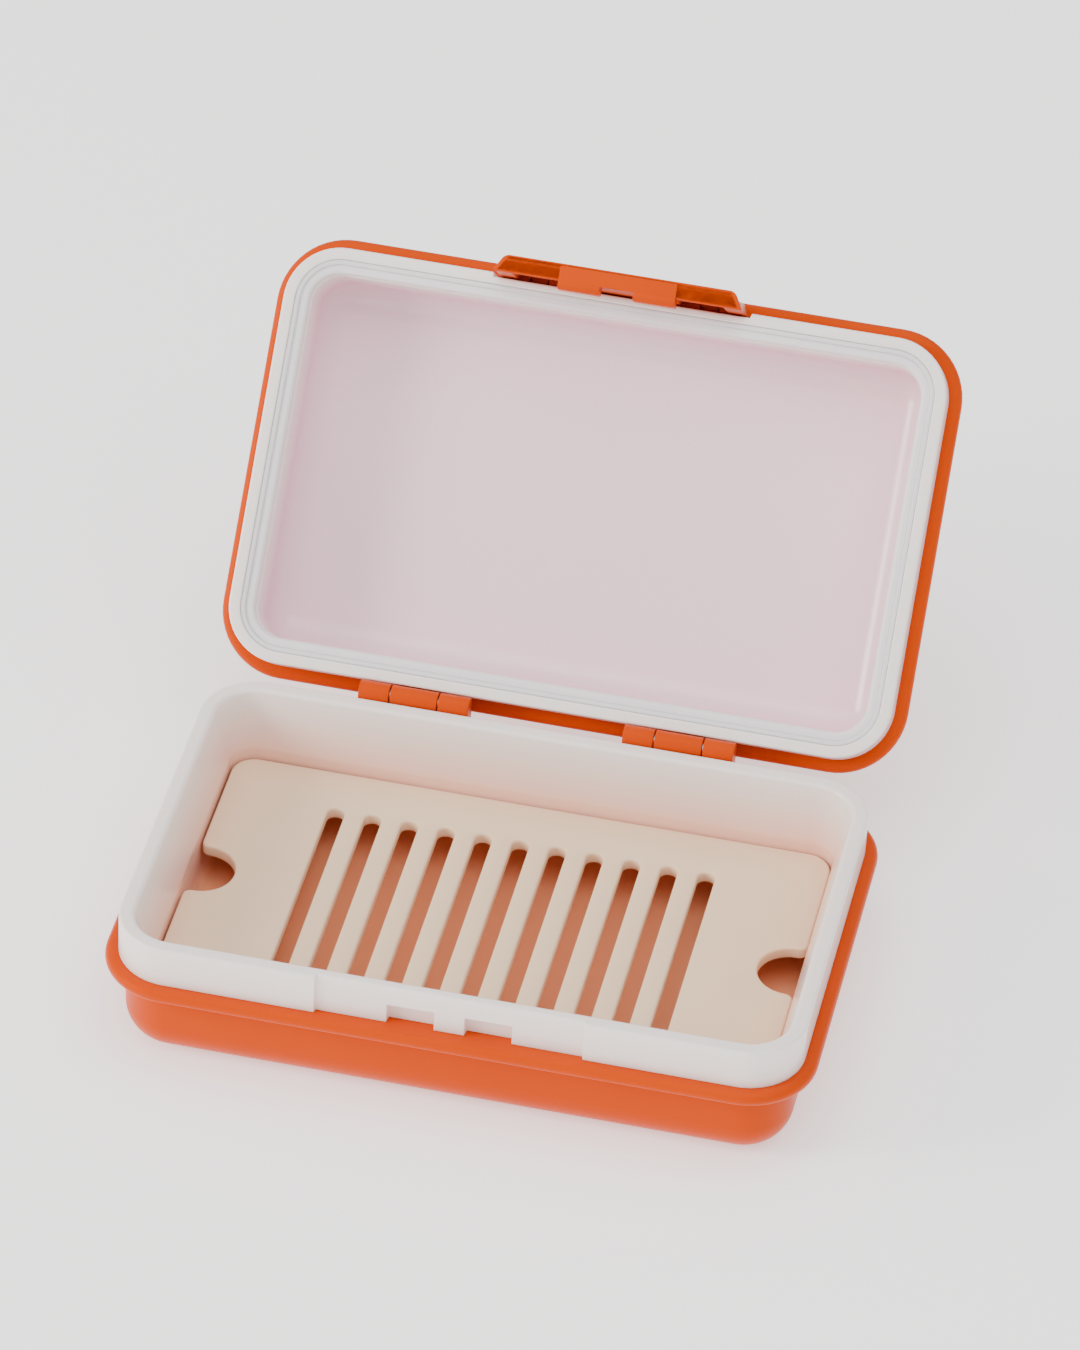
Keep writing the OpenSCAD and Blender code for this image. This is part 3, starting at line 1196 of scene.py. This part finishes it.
@dataclass(frozen=True)
class BaseHalf:
    """Lower half: orange shell with its hinge knuckles, and the white liner."""

    wall: float = 2.4
    edge_r: float = 7.0
    liner_t: float = 1.6
    rim_t: float = 2.7
    lean_h: float = 3.0
    rim_ease: float = 0.9
    lean_ease: float = 3.0
    tub_ease: float = 2.8
    recess_h: float = 3.95
    recess_depth: float = 4.55
    # The first share below is painted warm light bounced off the case onto the free-standing
    # rim. The floor's share is partly the case showing through and partly painted shade under
    # the tray.
    rim_painted_bounce_light: float = 0.12
    wall_glow: float = 0.5
    floor_glow: float = 0.38

    @property
    def liner_r(self) -> float:
        """Distance of the liner's outer wall from the core rectangle."""
        return CASE.wall_r - self.wall - CASE.liner_gap

    @property
    def tub_r(self) -> float:
        """Distance of the liner's inner wall from the core rectangle."""
        return self.liner_r - self.liner_t

    @property
    def tub_floor(self) -> float:
        """Height of the liner's floor."""
        return self.wall + CASE.liner_gap + self.liner_t

    def shell(self) -> list[Sheet]:
        """Tub with a round-edged flange: one half section carried round the box."""
        track = Round(samples(CASE.cx, 5.0), samples(CASE.cy, 5.0))
        under = CASE.base_h - CASE.flange_t
        inner = CASE.wall_r - self.wall
        half = rounded(
            [
                Corner(0, 0),
                Corner(CASE.wall_r, 0, self.edge_r, 12),
                Corner(CASE.wall_r, under, CASE.fillet, 6),
                Corner(CASE.corner_r, under, CASE.flange_round, 6),
                Corner(CASE.corner_r, CASE.base_h, CASE.flange_round, 6),
                Corner(inner, CASE.base_h, 0.2),
                Corner(inner, self.wall, self.edge_r - self.wall, 8),
                Corner(0, self.wall),
            ]
        )
        side = track.carry([half], [np.ones(len(track.feet))])
        return [
            Sheet(side, wrap_u=True),
            Sheet(track.floor(level(0.0))),
            Sheet(track.floor(level(self.wall))),
        ]

    def liner_section(self, low: float, high: float) -> np.ndarray:
        """Half section of the liner.

        Args:
            low: distance of the rim's face beside the hooks.
            high: distance of the rim's face above them.

        Returns:
            The half section from the middle of the underside to that of the floor.
        """
        under = self.wall + CASE.liner_gap
        step_z = CASE.base_h + self.recess_h
        step = 0.12 if low < high else 0.0
        return rounded(
            [
                Corner(0, under),
                Corner(self.liner_r, under, self.edge_r - self.wall - CASE.liner_gap, 8),
                Corner(self.liner_r, CASE.base_h, 0.1),
                Corner(low, CASE.base_h, 0.15),
                Corner(low, step_z, step),
                Corner(high, step_z, step),
                Corner(high, CASE.z_part, CASE.rim_round, 6),
                Corner(CASE.rim_r - self.rim_t, CASE.z_part, self.rim_ease, 6),
                Corner(self.tub_r, CASE.base_h - self.lean_h, self.lean_ease, 6),
                Corner(self.tub_r, self.tub_floor, self.tub_ease, 8),
                Corner(0, self.tub_floor),
            ]
        )

    def liner(self) -> list[Sheet]:
        """Tub whose thick rim steps in at the front for the latch and its hooks."""
        xs = samples(CASE.cx, 5.0, CASE.pocket_edges, 0.3)
        track = Round(xs, samples(CASE.cy, 5.0))
        x = track.feet[:, 0]
        front = track.facing(0, -1)
        pocket = front * soft_box(x, 0, CASE.pocket_half, 0.3)
        recess = front * soft_box(np.abs(x), CASE.recess_x, CASE.recess_half, 0.3)
        sections = [
            self.liner_section(CASE.rim_r, CASE.rim_r),
            self.liner_section(CASE.pocket_r, CASE.pocket_r),
            self.liner_section(CASE.corner_r - self.recess_depth, CASE.pocket_r),
        ]
        side = track.carry(sections, [1 - pocket, pocket - recess, recess])
        shade = self.see_through(side[..., 2])
        # The floor sheets take the full orange mix: partly the case showing through, partly
        # painted shade under the tray
        bottom = track.floor(level(self.wall + CASE.liner_gap))
        top = track.floor(level(self.tub_floor))
        return [
            Sheet(side, wrap_u=True, backing=shade),
            Sheet(bottom, backing=np.ones(bottom.shape[:2])),
            Sheet(top, backing=np.ones(top.shape[:2])),
        ]

    def see_through(self, z: np.ndarray) -> np.ndarray:
        """How much the case shows through.

        The wall under the rim lies in the shell, and so does the floor, so the case shows
        through there. The share on the free-standing rim is painted warm light bounced off the
        case, and the extra share on the floor is partly painted shade.

        Args:
            z: heights of the points.

        Returns:
            Shares from 0 to 1.
        """
        # Painted bounce light on the free rim, the case showing through lower down, and partly
        # painted shade on the floor
        rim = self.rim_painted_bounce_light * smooth((CASE.z_part - 1 - z) / 6)
        wall = self.wall_glow * smooth((CASE.base_h + 1.5 - z) / 5)
        return rim + wall + self.floor_glow * smooth((self.tub_floor + 4 - z) / 4)

    def build(self) -> list[bpy.types.Object]:
        """Makes the shell, the hinge knuckles and the liner."""
        return [
            make_piece(
                "case_base",
                [*self.shell(), *HINGES.base_parts()],
                CASE_PP,
                Slot.CASE,
                Body.BASE,
                ["base_shell"],
            ),
            make_piece(
                "liner_base", self.liner(), BASE_LINER_PP, Slot.LINER, Body.BASE, ["base_liner"]
            ),
        ]


@dataclass(frozen=True)
class DrainTray:
    """Lift-out tray with drain slots, two finger notches and four feet."""

    top: float = 13.0
    thickness: float = 2.4
    gap: float = 0.4
    edge: float = 0.45
    slot_count: int = 11
    slot_pitch: float = 6.7
    slot_w: float = 3.1
    slot_l: float = 44.0
    slot_r: float = 1.53
    notch_w: float = 12.0
    notch_d: float = 7.5
    notch_r: float = 5.95
    notch_ease: float = 1.4
    foot_r: float = 2.4
    foot_edge: float = 0.4
    foot_in: tuple[float, float] = (6.0, 4.0)

    def outline(self, reach: float) -> np.ndarray:
        """Rounded rectangle with a round-ended notch in each short side.

        Args:
            reach: distance of the sides from the core rectangle.

        Returns:
            Anticlockwise points of shape (n, 2).
        """
        right, top = CASE.cx + reach, CASE.cy + reach
        half = self.notch_w / 2
        deep = right - self.notch_d
        side = [
            Corner(right, -top, reach, 8),
            Corner(right, -half, self.notch_ease, 5),
            Corner(deep, -half, self.notch_r, 10),
            Corner(deep, half, self.notch_r, 10),
            Corner(right, half, self.notch_ease, 5),
            Corner(right, top, reach, 8),
        ]
        other = [Corner(-c.x, -c.y, c.radius, c.steps) for c in side]
        return rounded([*side, *other], closed=True)

    def slots(self) -> list[np.ndarray]:
        """Outlines of the drain slots, in a row along the tray."""
        w, h = self.slot_w / 2, self.slot_l / 2
        turns = ((w, -h), (w, h), (-w, h), (-w, -h))
        one = rounded([Corner(x, y, self.slot_r, 6) for x, y in turns], closed=True)
        places = (np.arange(self.slot_count) - (self.slot_count - 1) / 2) * self.slot_pitch
        return [one + (x, 0.0) for x in places]

    def build(self) -> list[bpy.types.Object]:
        """Makes the tray."""
        base = BaseHalf()
        under = self.top - self.thickness
        parts = slab(
            self.outline(base.tub_r - self.gap), self.slots(), under, self.top, self.edge
        )
        x, y = CASE.cx - self.foot_in[0], CASE.cy - self.foot_in[1]
        for at in ((x, y), (-x, y), (-x, -y), (x, -y)):
            ends = (base.tub_floor, under + OVERLAP)
            parts.append(rod(Axis.Z, at, *ends, self.foot_r, self.foot_edge))
        return [make_piece("tray", parts, TRAY_PP, Slot.TRAY, Body.TRAY, ["drain_tray"])]


@dataclass(frozen=True)
class LidHalf:
    """Upper half: orange dome with a sunken band and ribs, white liner and seal."""

    wall: float = 1.3
    edge_r: float = 8.5
    band_w: float = 41.2
    band_step: float = 1.0
    band_soft: float = 0.6
    rib_count: int = 3
    rib_pitch: float = 10.3
    rib_w: float = 4.6
    rib_h: float = 0.8
    rib_l: float = 91.8
    rib_soft: float = 0.4
    liner_t: float = 1.0
    rim_t: float = 2.1
    seal_z: float = 0.7
    seal_h: float = 1.9
    seal_w: float = 2.4
    seal_gap: float = 0.05
    bead: float = 0.45
    web_t: float = 1.4
    ceiling_fade: float = 0.25

    @property
    def z_band(self) -> float:
        """Height of the sunken band."""
        return CASE.z_top - self.band_step

    @property
    def flat(self) -> float:
        """Width of the flat between the core rectangle and the dome's round edge."""
        return CASE.wall_r - self.edge_r

    @property
    def inner_r(self) -> float:
        """Distance of the shell's inner wall from the core rectangle."""
        return CASE.wall_r - self.band_step - self.wall

    @property
    def rib_middles(self) -> np.ndarray:
        """Places of the ribs across the band."""
        return (np.arange(self.rib_count) - (self.rib_count - 1) / 2) * self.rib_pitch

    def dome_section(self, sink: float) -> np.ndarray:
        """Half section of the shell, sunk by a distance along its outer normal.

        Args:
            sink: 0 for the shoulders, the step's depth for the band.

        Returns:
            The half section from the middle of the top to that of the ceiling.
        """
        top = CASE.z_top - sink
        outer = CASE.wall_r - sink
        upper = CASE.z_lid + CASE.flange_t
        ceiling = self.z_band - self.wall
        return rounded(
            [
                Corner(0, top),
                Corner(outer, top, self.edge_r - sink, 16),
                Corner(outer, upper, CASE.fillet, 6),
                Corner(CASE.corner_r, upper, CASE.flange_round, 6),
                Corner(CASE.corner_r, CASE.z_lid, CASE.flange_round, 6),
                Corner(self.inner_r, CASE.z_lid, 0.2),
                Corner(self.inner_r, ceiling, self.inner_r - self.flat, 8),
                Corner(0, ceiling),
            ]
        )

    def in_band(self, y: np.ndarray) -> np.ndarray:
        """Tells the sunken band from the shoulders.

        Args:
            y: places across the box.

        Returns:
            1 on the band, 0 on the shoulders and an S-curve on the steps between.
        """
        return soft_box(y, 0, self.band_w / 2, self.band_soft)

    def top_height(self, x: np.ndarray, y: np.ndarray) -> np.ndarray:
        """Height of the top: shoulders, less the step of the band, plus the ribs.

        Args:
            x: places along the box.
            y: places across the box.

        Returns:
            The heights.
        """
        along = soft_box(x, 0, self.rib_l / 2, self.rib_soft)
        across = sum(soft_box(y, m, self.rib_w / 2, self.rib_soft) for m in self.rib_middles)
        return CASE.z_top - self.band_step * self.in_band(y) + self.rib_h * along * across

    def shell(self) -> list[Sheet]:
        """Dome: shoulder and band sections blended by the place across the box."""
        steps = [abs(m + side * self.rib_w / 2) for m in self.rib_middles for side in (-1, 1)]
        edges = sorted({round(v, 3) for v in [*steps, self.band_w / 2]})
        ys = samples(CASE.cy, 2.5, edges, 0.5)
        xs = samples(CASE.cx, 4.0, [self.rib_l / 2], 0.4)
        track = Round(xs, ys)
        ends = track.facing(1, 0) | track.facing(-1, 0)
        band = ends * self.in_band(track.feet[:, 1])
        sections = [self.dome_section(0), self.dome_section(self.band_step)]
        side = track.carry(sections, [1 - band, band])
        return [
            Sheet(side, wrap_u=True),
            Sheet(track.floor(self.top_height)),
            Sheet(track.floor(level(self.z_band - self.wall))),
        ]

    def liner_section(self, rim: float) -> np.ndarray:
        """Half section of the liner.

        Args:
            rim: distance of the rim's face.

        Returns:
            The half section from the middle of the tub's back to that of its floor.
        """
        outer = self.inner_r - CASE.liner_gap
        tub = outer - self.liner_t
        top = self.z_band - self.wall - CASE.liner_gap
        web = CASE.z_part + self.seal_z + self.seal_h
        inside = CASE.rim_r - self.rim_t
        return rounded(
            [
                Corner(0, top),
                Corner(outer, top, outer - self.flat, 8),
                Corner(outer, web + self.web_t, 0.1),
                Corner(inside, web + self.web_t, 0.1),
                Corner(inside, CASE.z_lid, 0.1),
                Corner(rim, CASE.z_lid, 0.15),
                Corner(rim, CASE.z_part, CASE.rim_round, 6),
                Corner(inside, CASE.z_part, 0.25),
                Corner(inside, web, 0.1),
                Corner(tub, web, 0.6),
                Corner(tub, top - self.liner_t, tub - self.flat, 12),
                Corner(0, top - self.liner_t),
            ]
        )

    def liner(self) -> list[Sheet]:
        """Tub whose rim steps in at the front for the latch."""
        xs = samples(CASE.cx, 5.0, [CASE.pocket_half], 0.3)
        track = Round(xs, samples(CASE.cy, 5.0))
        pocket = track.facing(0, -1) * soft_box(track.feet[:, 0], 0, CASE.pocket_half, 0.3)
        sections = [self.liner_section(CASE.rim_r), self.liner_section(CASE.pocket_r)]
        side = track.carry(sections, [1 - pocket, pocket])
        top = self.z_band - self.wall - CASE.liner_gap
        sheets = [
            Sheet(side, wrap_u=True),
            Sheet(track.floor(level(top))),
            Sheet(track.floor(level(top - self.liner_t))),
        ]
        for sheet in sheets:
            sheet.backing = self.see_through(sheet.points[..., 2], top - self.liner_t)
        return sheets

    def see_through(self, z: np.ndarray, ceiling: float) -> np.ndarray:
        """How much the case shows through: none at the rim, and most on the walls.

        Args:
            z: heights of the points.
            ceiling: height of the tub's floor, which is on top when the lid is shut.

        Returns:
            Shares from 0 to 1.
        """
        wall = smooth((z - CASE.z_part - 3) / 5)
        return wall - self.ceiling_fade * smooth((z - ceiling + 5) / 5)

    def seal(self) -> list[Sheet]:
        """Soft ring with a bead: a closed section carried round the rim."""
        outer = CASE.rim_r - self.rim_t - self.seal_gap
        inner, notch = outer - self.seal_w, outer - 2 * self.bead
        low = CASE.z_part + self.seal_z
        high = low + self.seal_h - 2 * self.seal_gap
        loop = rounded(
            [
                Corner(inner, low, 0.7, 6),
                Corner(notch, low, 0.2),
                Corner(notch, low - self.bead, 0.4),
                Corner(outer, low - self.bead, 0.15),
                Corner(outer, high, 0.1),
                Corner(inner, high, 0.1),
            ],
            closed=True,
        )
        track = Round(samples(CASE.cx, 10.0), samples(CASE.cy, 10.0))
        ring = track.carry([loop], [np.ones(len(track.feet))])
        return [Sheet(ring, wrap_u=True, wrap_v=True)]

    def build(self) -> list[bpy.types.Object]:
        """Makes the dome with its knuckles and lugs, the liner and the seal."""
        turn = lid_open()
        case = [*self.shell(), *HINGES.lid_parts(), *Latch().lug_parts()]
        return [
            make_piece("case_lid", case, CASE_PP, Slot.CASE, Body.LID, ["lid_shell"], turn),
            make_piece(
                "liner_lid",
                self.liner(),
                LID_LINER_PP,
                Slot.LINER,
                Body.LID,
                ["lid_liner"],
                turn,
            ),
            make_piece(
                "seal_ring",
                self.seal(),
                SEAL_SILICONE,
                Slot.SEAL,
                Body.LID,
                ["lid_seal"],
                turn,
            ),
        ]


class Cut(Enum):
    """Kinds of section through the latch."""

    SOLID = "at the sides and the middle block"
    HOLLOW = "behind the thin face"
    NOTCHED = "hollow, and open above for a lug"


@dataclass(frozen=True)
class Latch:
    """Flap with slanting sides, a finger lip, a hollow back and two hooks."""

    width: float = 45.6
    bevel: float = 1.8
    taper: float = 0.8
    plate: float = 1.3
    dish: float = 0.6
    barrel_r: float = 1.25
    inset: float = 0.25
    top_gap: float = 0.15
    end_gap: float = 0.2
    back_gap: float = 0.35
    side_t: float = 1.2
    lip_out: float = 0.4
    lip_t: float = 1.2
    lip_side: float = 0.6
    lip_round: float = 1.6
    pad: float = 0.25
    hook_w: float = 7.6
    hook_gap: float = 6.0
    hook_reach: float = 1.1
    hook_h: float = 3.2
    hook_lead: float = 0.8
    hook_root: float = 0.4
    lug_x: float = 15.5
    lug_w: float = 3.0
    lug_gap: float = 0.25
    soft: float = 0.3
    hold: float = 0.4
    edge: float = 0.2

    @property
    def front(self) -> float:
        """Front edge of the flanges."""
        return -CASE.width / 2

    @property
    def face(self) -> float:
        """Outer face of the latch at its hinge."""
        return self.front + self.inset

    @property
    def sunk(self) -> float:
        """Outer face of the latch above the lip."""
        return self.face + self.dish

    @property
    def back(self) -> float:
        """Back of the latch."""
        return self.front + CASE.pocket - self.back_gap

    @property
    def axis(self) -> tuple[float, float]:
        """Place and height of the hinge axis."""
        return (self.face + self.barrel_r, CASE.z_lid - self.top_gap - self.barrel_r)

    @property
    def end(self) -> float:
        """Height of the free end."""
        return CASE.base_h + self.end_gap

    @property
    def turn_r(self) -> float:
        """Radius of the two arcs of a round end, just short of meeting."""
        return self.barrel_r - 0.01

    def lug_parts(self) -> list[Sheet | Fill]:
        """Lugs under the lid's flange that hold the latch pin."""
        y, z = self.axis
        r = self.barrel_r
        lug = rounded(
            [
                Corner(y - r, z - r, self.turn_r, 6),
                Corner(y + r, z - r, self.turn_r, 6),
                Corner(y + r, CASE.z_lid + CASE.flange_t / 2),
                Corner(y - r, CASE.z_lid + CASE.flange_t / 2),
            ],
            closed=True,
        )
        half = self.lug_w / 2
        places = (-self.lug_x, self.lug_x)
        return [part for x in places for part in bar(lug, x - half, x + half)]

    def section(self, cut: Cut) -> np.ndarray:
        """Closed section of the body in Y and Z.

        Args:
            cut: kind of section.

        Returns:
            Anticlockwise points, alike in number for every kind.
        """
        _, z = self.axis
        lip_top = self.end + self.lip_t
        tip = self.front - self.lip_out
        roof = z - self.barrel_r - self.lug_gap
        crown = z + self.barrel_r
        inner = self.face + self.plate
        deep = self.sunk + self.plate
        back = self.back
        lower = [
            Corner(self.sunk, lip_top, self.sunk - tip - APART, 6),
            Corner(tip, lip_top, 0.25),
            Corner(tip, self.end + self.pad, 0.3),
            Corner(back, self.end + self.pad, 0.25),
        ]
        hollow = [Corner(back, lip_top, 0.2), Corner(deep, lip_top, 0.3)]
        first = Corner(self.face, crown, self.turn_r, 7)
        last = Corner(back, crown, self.turn_r, 7)
        if cut is Cut.SOLID:
            behind = [Corner(back, lip_top)] * 2 + [Corner(back, roof)] * 2
        elif cut is Cut.HOLLOW:
            behind = [*hollow, Corner(inner, roof, 0.3), Corner(back, roof, 0.2)]
        else:
            behind = [*hollow, Corner(inner, roof, 0.1), Corner(inner, roof)]
            sunk = self.dish * (crown - roof) / (crown - lip_top)
            first = Corner(self.face + sunk, roof, 0.15, 7)
            last = Corner(inner, roof, 0.0, 7)
        return rounded([first, *lower, *behind, last], closed=True)

    def half_width(self, y: np.ndarray, z: np.ndarray) -> np.ndarray:
        """Half width of the body, which slants in to its face and to its free end.

        Args:
            y: places from the front to the back.
            z: heights.

        Returns:
            The half widths.
        """
        axis_z = self.axis[1]
        to_face = self.bevel * (self.back - y) / (self.back - self.front)
        to_end = self.taper * (axis_z - z) / (axis_z - self.end)
        return self.width / 2 - to_face - to_end

    def body(self) -> list[Sheet | Fill]:
        """Body: sections blended along X, and stretched to the slanting sides.

        Up to the side walls a point stays at its own x. From there to the end it moves
        in proportion, so that the last section lies on the slanting side.
        """
        block = self.hook_gap / 2 + self.hook_w
        lug = self.lug_w / 2 + self.lug_gap
        wall = self.width / 2 - self.bevel - self.taper - self.side_t
        edges = [block, self.lug_x - lug, self.lug_x + lug, wall]
        u = samples(self.width / 2, 3.0, edges, self.soft)
        drawn, step = quarter_round(self.edge)
        ends = self.width / 2 - step
        between = u[np.abs(u) < ends[-1] - 2 * LEAST_GAP]
        u = np.concatenate([-ends, between, ends[::-1]])
        depth = np.concatenate([drawn, np.zeros(len(between)), drawn[::-1]])
        far = np.abs(u)
        side = smooth((far - wall) / self.soft + 0.5)
        notch = soft_box(far, self.lug_x, lug, self.soft)
        middle = soft_box(u, 0, block, self.soft)
        shares = np.stack([side + middle, notch, 1 - side - middle - notch], axis=1)
        kinds = np.stack([self.section(c) for c in (Cut.SOLID, Cut.NOTCHED, Cut.HOLLOW)])
        loops = np.einsum("nk,kmc->nmc", shares, kinds)
        loops = np.stack([inset(loop, d) for loop, d in zip(loops, depth)])
        hold = wall + self.hold
        side_x = self.half_width(loops[..., 0], loops[..., 1])
        stretch = (side_x - hold) / (self.width / 2 - hold)
        past = np.maximum(far - hold, 0)[:, None]
        reach = np.minimum(far, hold)[:, None] + past * stretch
        grid = np.concatenate([(np.sign(u)[:, None] * reach)[..., None], loops], axis=2)
        caps = []
        for row in (0, -1):
            cap = fill([grid[row][:, 1:]], 0.0, Axis.X)
            caps.append(Fill(grid[row], cap.triangles))
        return [Sheet(grid, wrap_v=True), *caps]

    def lip(self) -> list[Sheet | Fill]:
        """End plate that stands out as a lip for the finger, and its middle pad."""
        half = self.width / 2 - self.taper + self.lip_side
        block = self.hook_gap / 2 + self.hook_w
        tip = self.front - self.lip_out
        outline = rounded(
            [
                Corner(self.bevel - half, tip, self.lip_round, 8),
                Corner(half - self.bevel, tip, self.lip_round, 8),
                Corner(half, self.back, 0.25),
                Corner(-half, self.back, 0.25),
            ],
            closed=True,
        )
        pad = rounded(
            [
                Corner(-block, self.front, 0.3),
                Corner(block, self.front, 0.3),
                Corner(block, self.back, 0.15),
                Corner(-block, self.back, 0.15),
            ],
            closed=True,
        )
        plate = self.end + self.pad
        return [
            *slab(outline, [], plate, self.end + self.lip_t, 0.25),
            *slab(pad, [], self.end, plate + OVERLAP, 0.12),
        ]

    def hooks(self) -> list[Sheet | Fill]:
        """Two hooks on the free end, with a slant that leads them over the rim."""
        tip = self.front + CASE.pocket + self.hook_reach
        root, low = self.back - self.hook_root, self.end + APART
        loop = rounded(
            [
                Corner(root, low),
                Corner(tip - self.hook_lead, low, 0.2),
                Corner(tip, low + self.hook_lead, 0.2),
                Corner(tip, self.end + self.hook_h, 0.2),
                Corner(root, self.end + self.hook_h),
            ],
            closed=True,
        )
        parts = []
        for side in (-1, 1):
            x = side * (self.hook_gap + self.hook_w) / 2
            parts += bar(loop, x - self.hook_w / 2, x + self.hook_w / 2)
        return parts

    def build(self) -> list[bpy.types.Object]:
        """Makes the latch."""
        parts = [*self.body(), *self.lip(), *self.hooks()]
        return [
            make_piece(
                "latch_flap", parts, CASE_PP, Slot.CASE, Body.LATCH, ["latch"], lid_open()
            )
        ]


@dataclass(frozen=True)
class Pins:
    """Wire pins of the hinges and the latch, whose cut ends are rounded."""

    hinge_r: float = 0.9
    hinge_in: float = 0.3
    latch_r: float = 0.6
    latch_in: float = 1.2
    edge: float = 0.2

    def pin(
        self, middle: float, half: float, at: tuple[float, float], radius: float
    ) -> Sheet:
        """Pin about a line along X.

        Args:
            middle: middle of the pin.
            half: half of its length.
            at: place and height of the line.
            radius: radius of the wire.

        Returns:
            The surface of the pin.
        """
        return rod(Axis.X, at, middle - half, middle + half, radius, self.edge)

    def build(self) -> list[bpy.types.Object]:
        """Makes the latch pin and the two hinge pins."""
        latch = Latch()
        half = latch.width / 2 - self.latch_in
        wire = self.pin(0.0, half, latch.axis, self.latch_r)
        role = (PIN_WIRE, Slot.PIN, Body.LID)
        pieces = [make_piece("pin_latch", [wire], *role, ["latch_pin"], lid_open())]
        half = HINGES.width / 2 - self.hinge_in
        role = (PIN_WIRE, Slot.PIN, Body.BASE)
        for side, x in zip(("left", "right"), HINGES.middles):
            wire = self.pin(x, half, (HINGES.y, HINGES.z), self.hinge_r)
            pieces.append(make_piece(f"pin_{side}", [wire], *role, [f"hinge_pin_{side}"]))
        return pieces


# Studio


@dataclass(frozen=True)
class SoftBox:
    """Square area light, with its place and size in metres and its power in watts."""

    name: str
    at: tuple[float, float, float]
    size: float
    power: float
    colour: str


@dataclass(frozen=True)
class Studio:
    """Pale floor, soft lights and the camera.

    The camera stands where a camera fitted to the photograph stands, 1.34 m from the
    box, at 10 degrees to its right and 39 above, and is rolled by 3 degrees. It is
    turned to the middle of the box, and its lens fills the frame.
    """

    camera_at: tuple[float, float, float] = (190.6, -998.5, 887.9)
    aim: tuple[float, float, float] = (0.0, 31.0, 43.5)
    roll_deg: float = 3.01
    lens_mm: float = 205.0
    sensor_mm: float = 36.0
    floor_size: float = 6.0
    floor_drop: float = 0.0002
    floor_colour: str = "#f7f7f7"
    floor_roughness: float = 0.9
    floor_glow: float = 0.7
    sky_colour: str = "#f6f7f9"
    sky_glow: float = 0.95
    lights_aim: tuple[float, float, float] = (0.0, 0.03, 0.04)
    lights: tuple[SoftBox, ...] = (
        SoftBox("overhead", (0.1, -0.3, 1.3), 1.2, 12.0, "#fffdfa"),
        SoftBox("window", (-1.15, -0.55, 0.6), 0.5, 15.5, "#fffaf2"),
    )

    def floor(self) -> None:
        """Large pale plane just below the box."""
        half = self.floor_size / 2
        corners = [(-half, -half), (half, -half), (half, half), (-half, half)]
        mesh = bpy.data.meshes.new("floor")
        mesh.from_pydata([(*c, -self.floor_drop) for c in corners], [], [(0, 1, 2, 3)])
        plane = bpy.data.objects.new("floor", mesh)
        bpy.context.scene.collection.objects.link(plane)
        mat = bpy.data.materials.new("pale_card")
        mat.use_nodes = True
        shader = mat.node_tree.nodes["Principled BSDF"]
        shader.inputs["Base Color"].default_value = linear(self.floor_colour)
        shader.inputs["Roughness"].default_value = self.floor_roughness
        shader.inputs["Emission Color"].default_value = linear("#ffffff")
        shader.inputs["Emission Strength"].default_value = self.floor_glow
        mesh.materials.append(mat)

    def light(self, box: SoftBox) -> None:
        """Adds a light that faces the middle of the object.

        Args:
            box: the light.
        """
        lamp = bpy.data.lights.new(box.name, "AREA")
        lamp.size = box.size
        lamp.energy = box.power
        lamp.color = linear(box.colour)[:3]
        holder = bpy.data.objects.new(box.name, lamp)
        holder.location = box.at
        towards = Vector(self.lights_aim) - Vector(box.at)
        holder.rotation_euler = towards.to_track_quat("-Z", "Y").to_euler()
        bpy.context.scene.collection.objects.link(holder)

    def world(self) -> None:
        """Even pale surroundings."""
        world = bpy.data.worlds.new("surroundings")
        world.use_nodes = True
        sky = world.node_tree.nodes["Background"]
        sky.inputs["Color"].default_value = linear(self.sky_colour)
        sky.inputs["Strength"].default_value = self.sky_glow
        bpy.context.scene.world = world

    def camera(self) -> None:
        """Camera at the photograph's viewing angle."""
        at = Vector(self.camera_at) * MM
        back = (at - Vector(self.aim) * MM).normalized()
        right = Vector((0, 0, 1)).cross(back).normalized()
        turn = Matrix.Rotation(math.radians(self.roll_deg), 3, back)
        right = turn @ right
        up = back.cross(right)
        lens = bpy.data.cameras.new("camera")
        lens.lens = self.lens_mm
        lens.sensor_width = self.sensor_mm
        lens.clip_start, lens.clip_end = 0.05, 20.0
        holder = bpy.data.objects.new("camera", lens)
        axes = Matrix((right, up, back)).transposed()
        holder.matrix_world = Matrix.Translation(at) @ axes.to_4x4()
        bpy.context.scene.collection.objects.link(holder)
        bpy.context.scene.camera = holder

    def build(self) -> None:
        """Makes the floor, the lights and the camera."""
        self.floor()
        self.world()
        for box in self.lights:
            self.light(box)
        self.camera()


def main() -> None:
    """Builds the sub-assemblies in order and reports each piece."""
    logging.basicConfig(level=logging.INFO, format="%(name)s: %(message)s")
    for assembly in (BaseHalf(), DrainTray(), LidHalf(), Latch(), Pins()):
        for piece in assembly.build():
            LOG.info("%s made %s", type(assembly).__name__, piece.name)
    Studio().build()


if __name__ == "__main__":
    main()
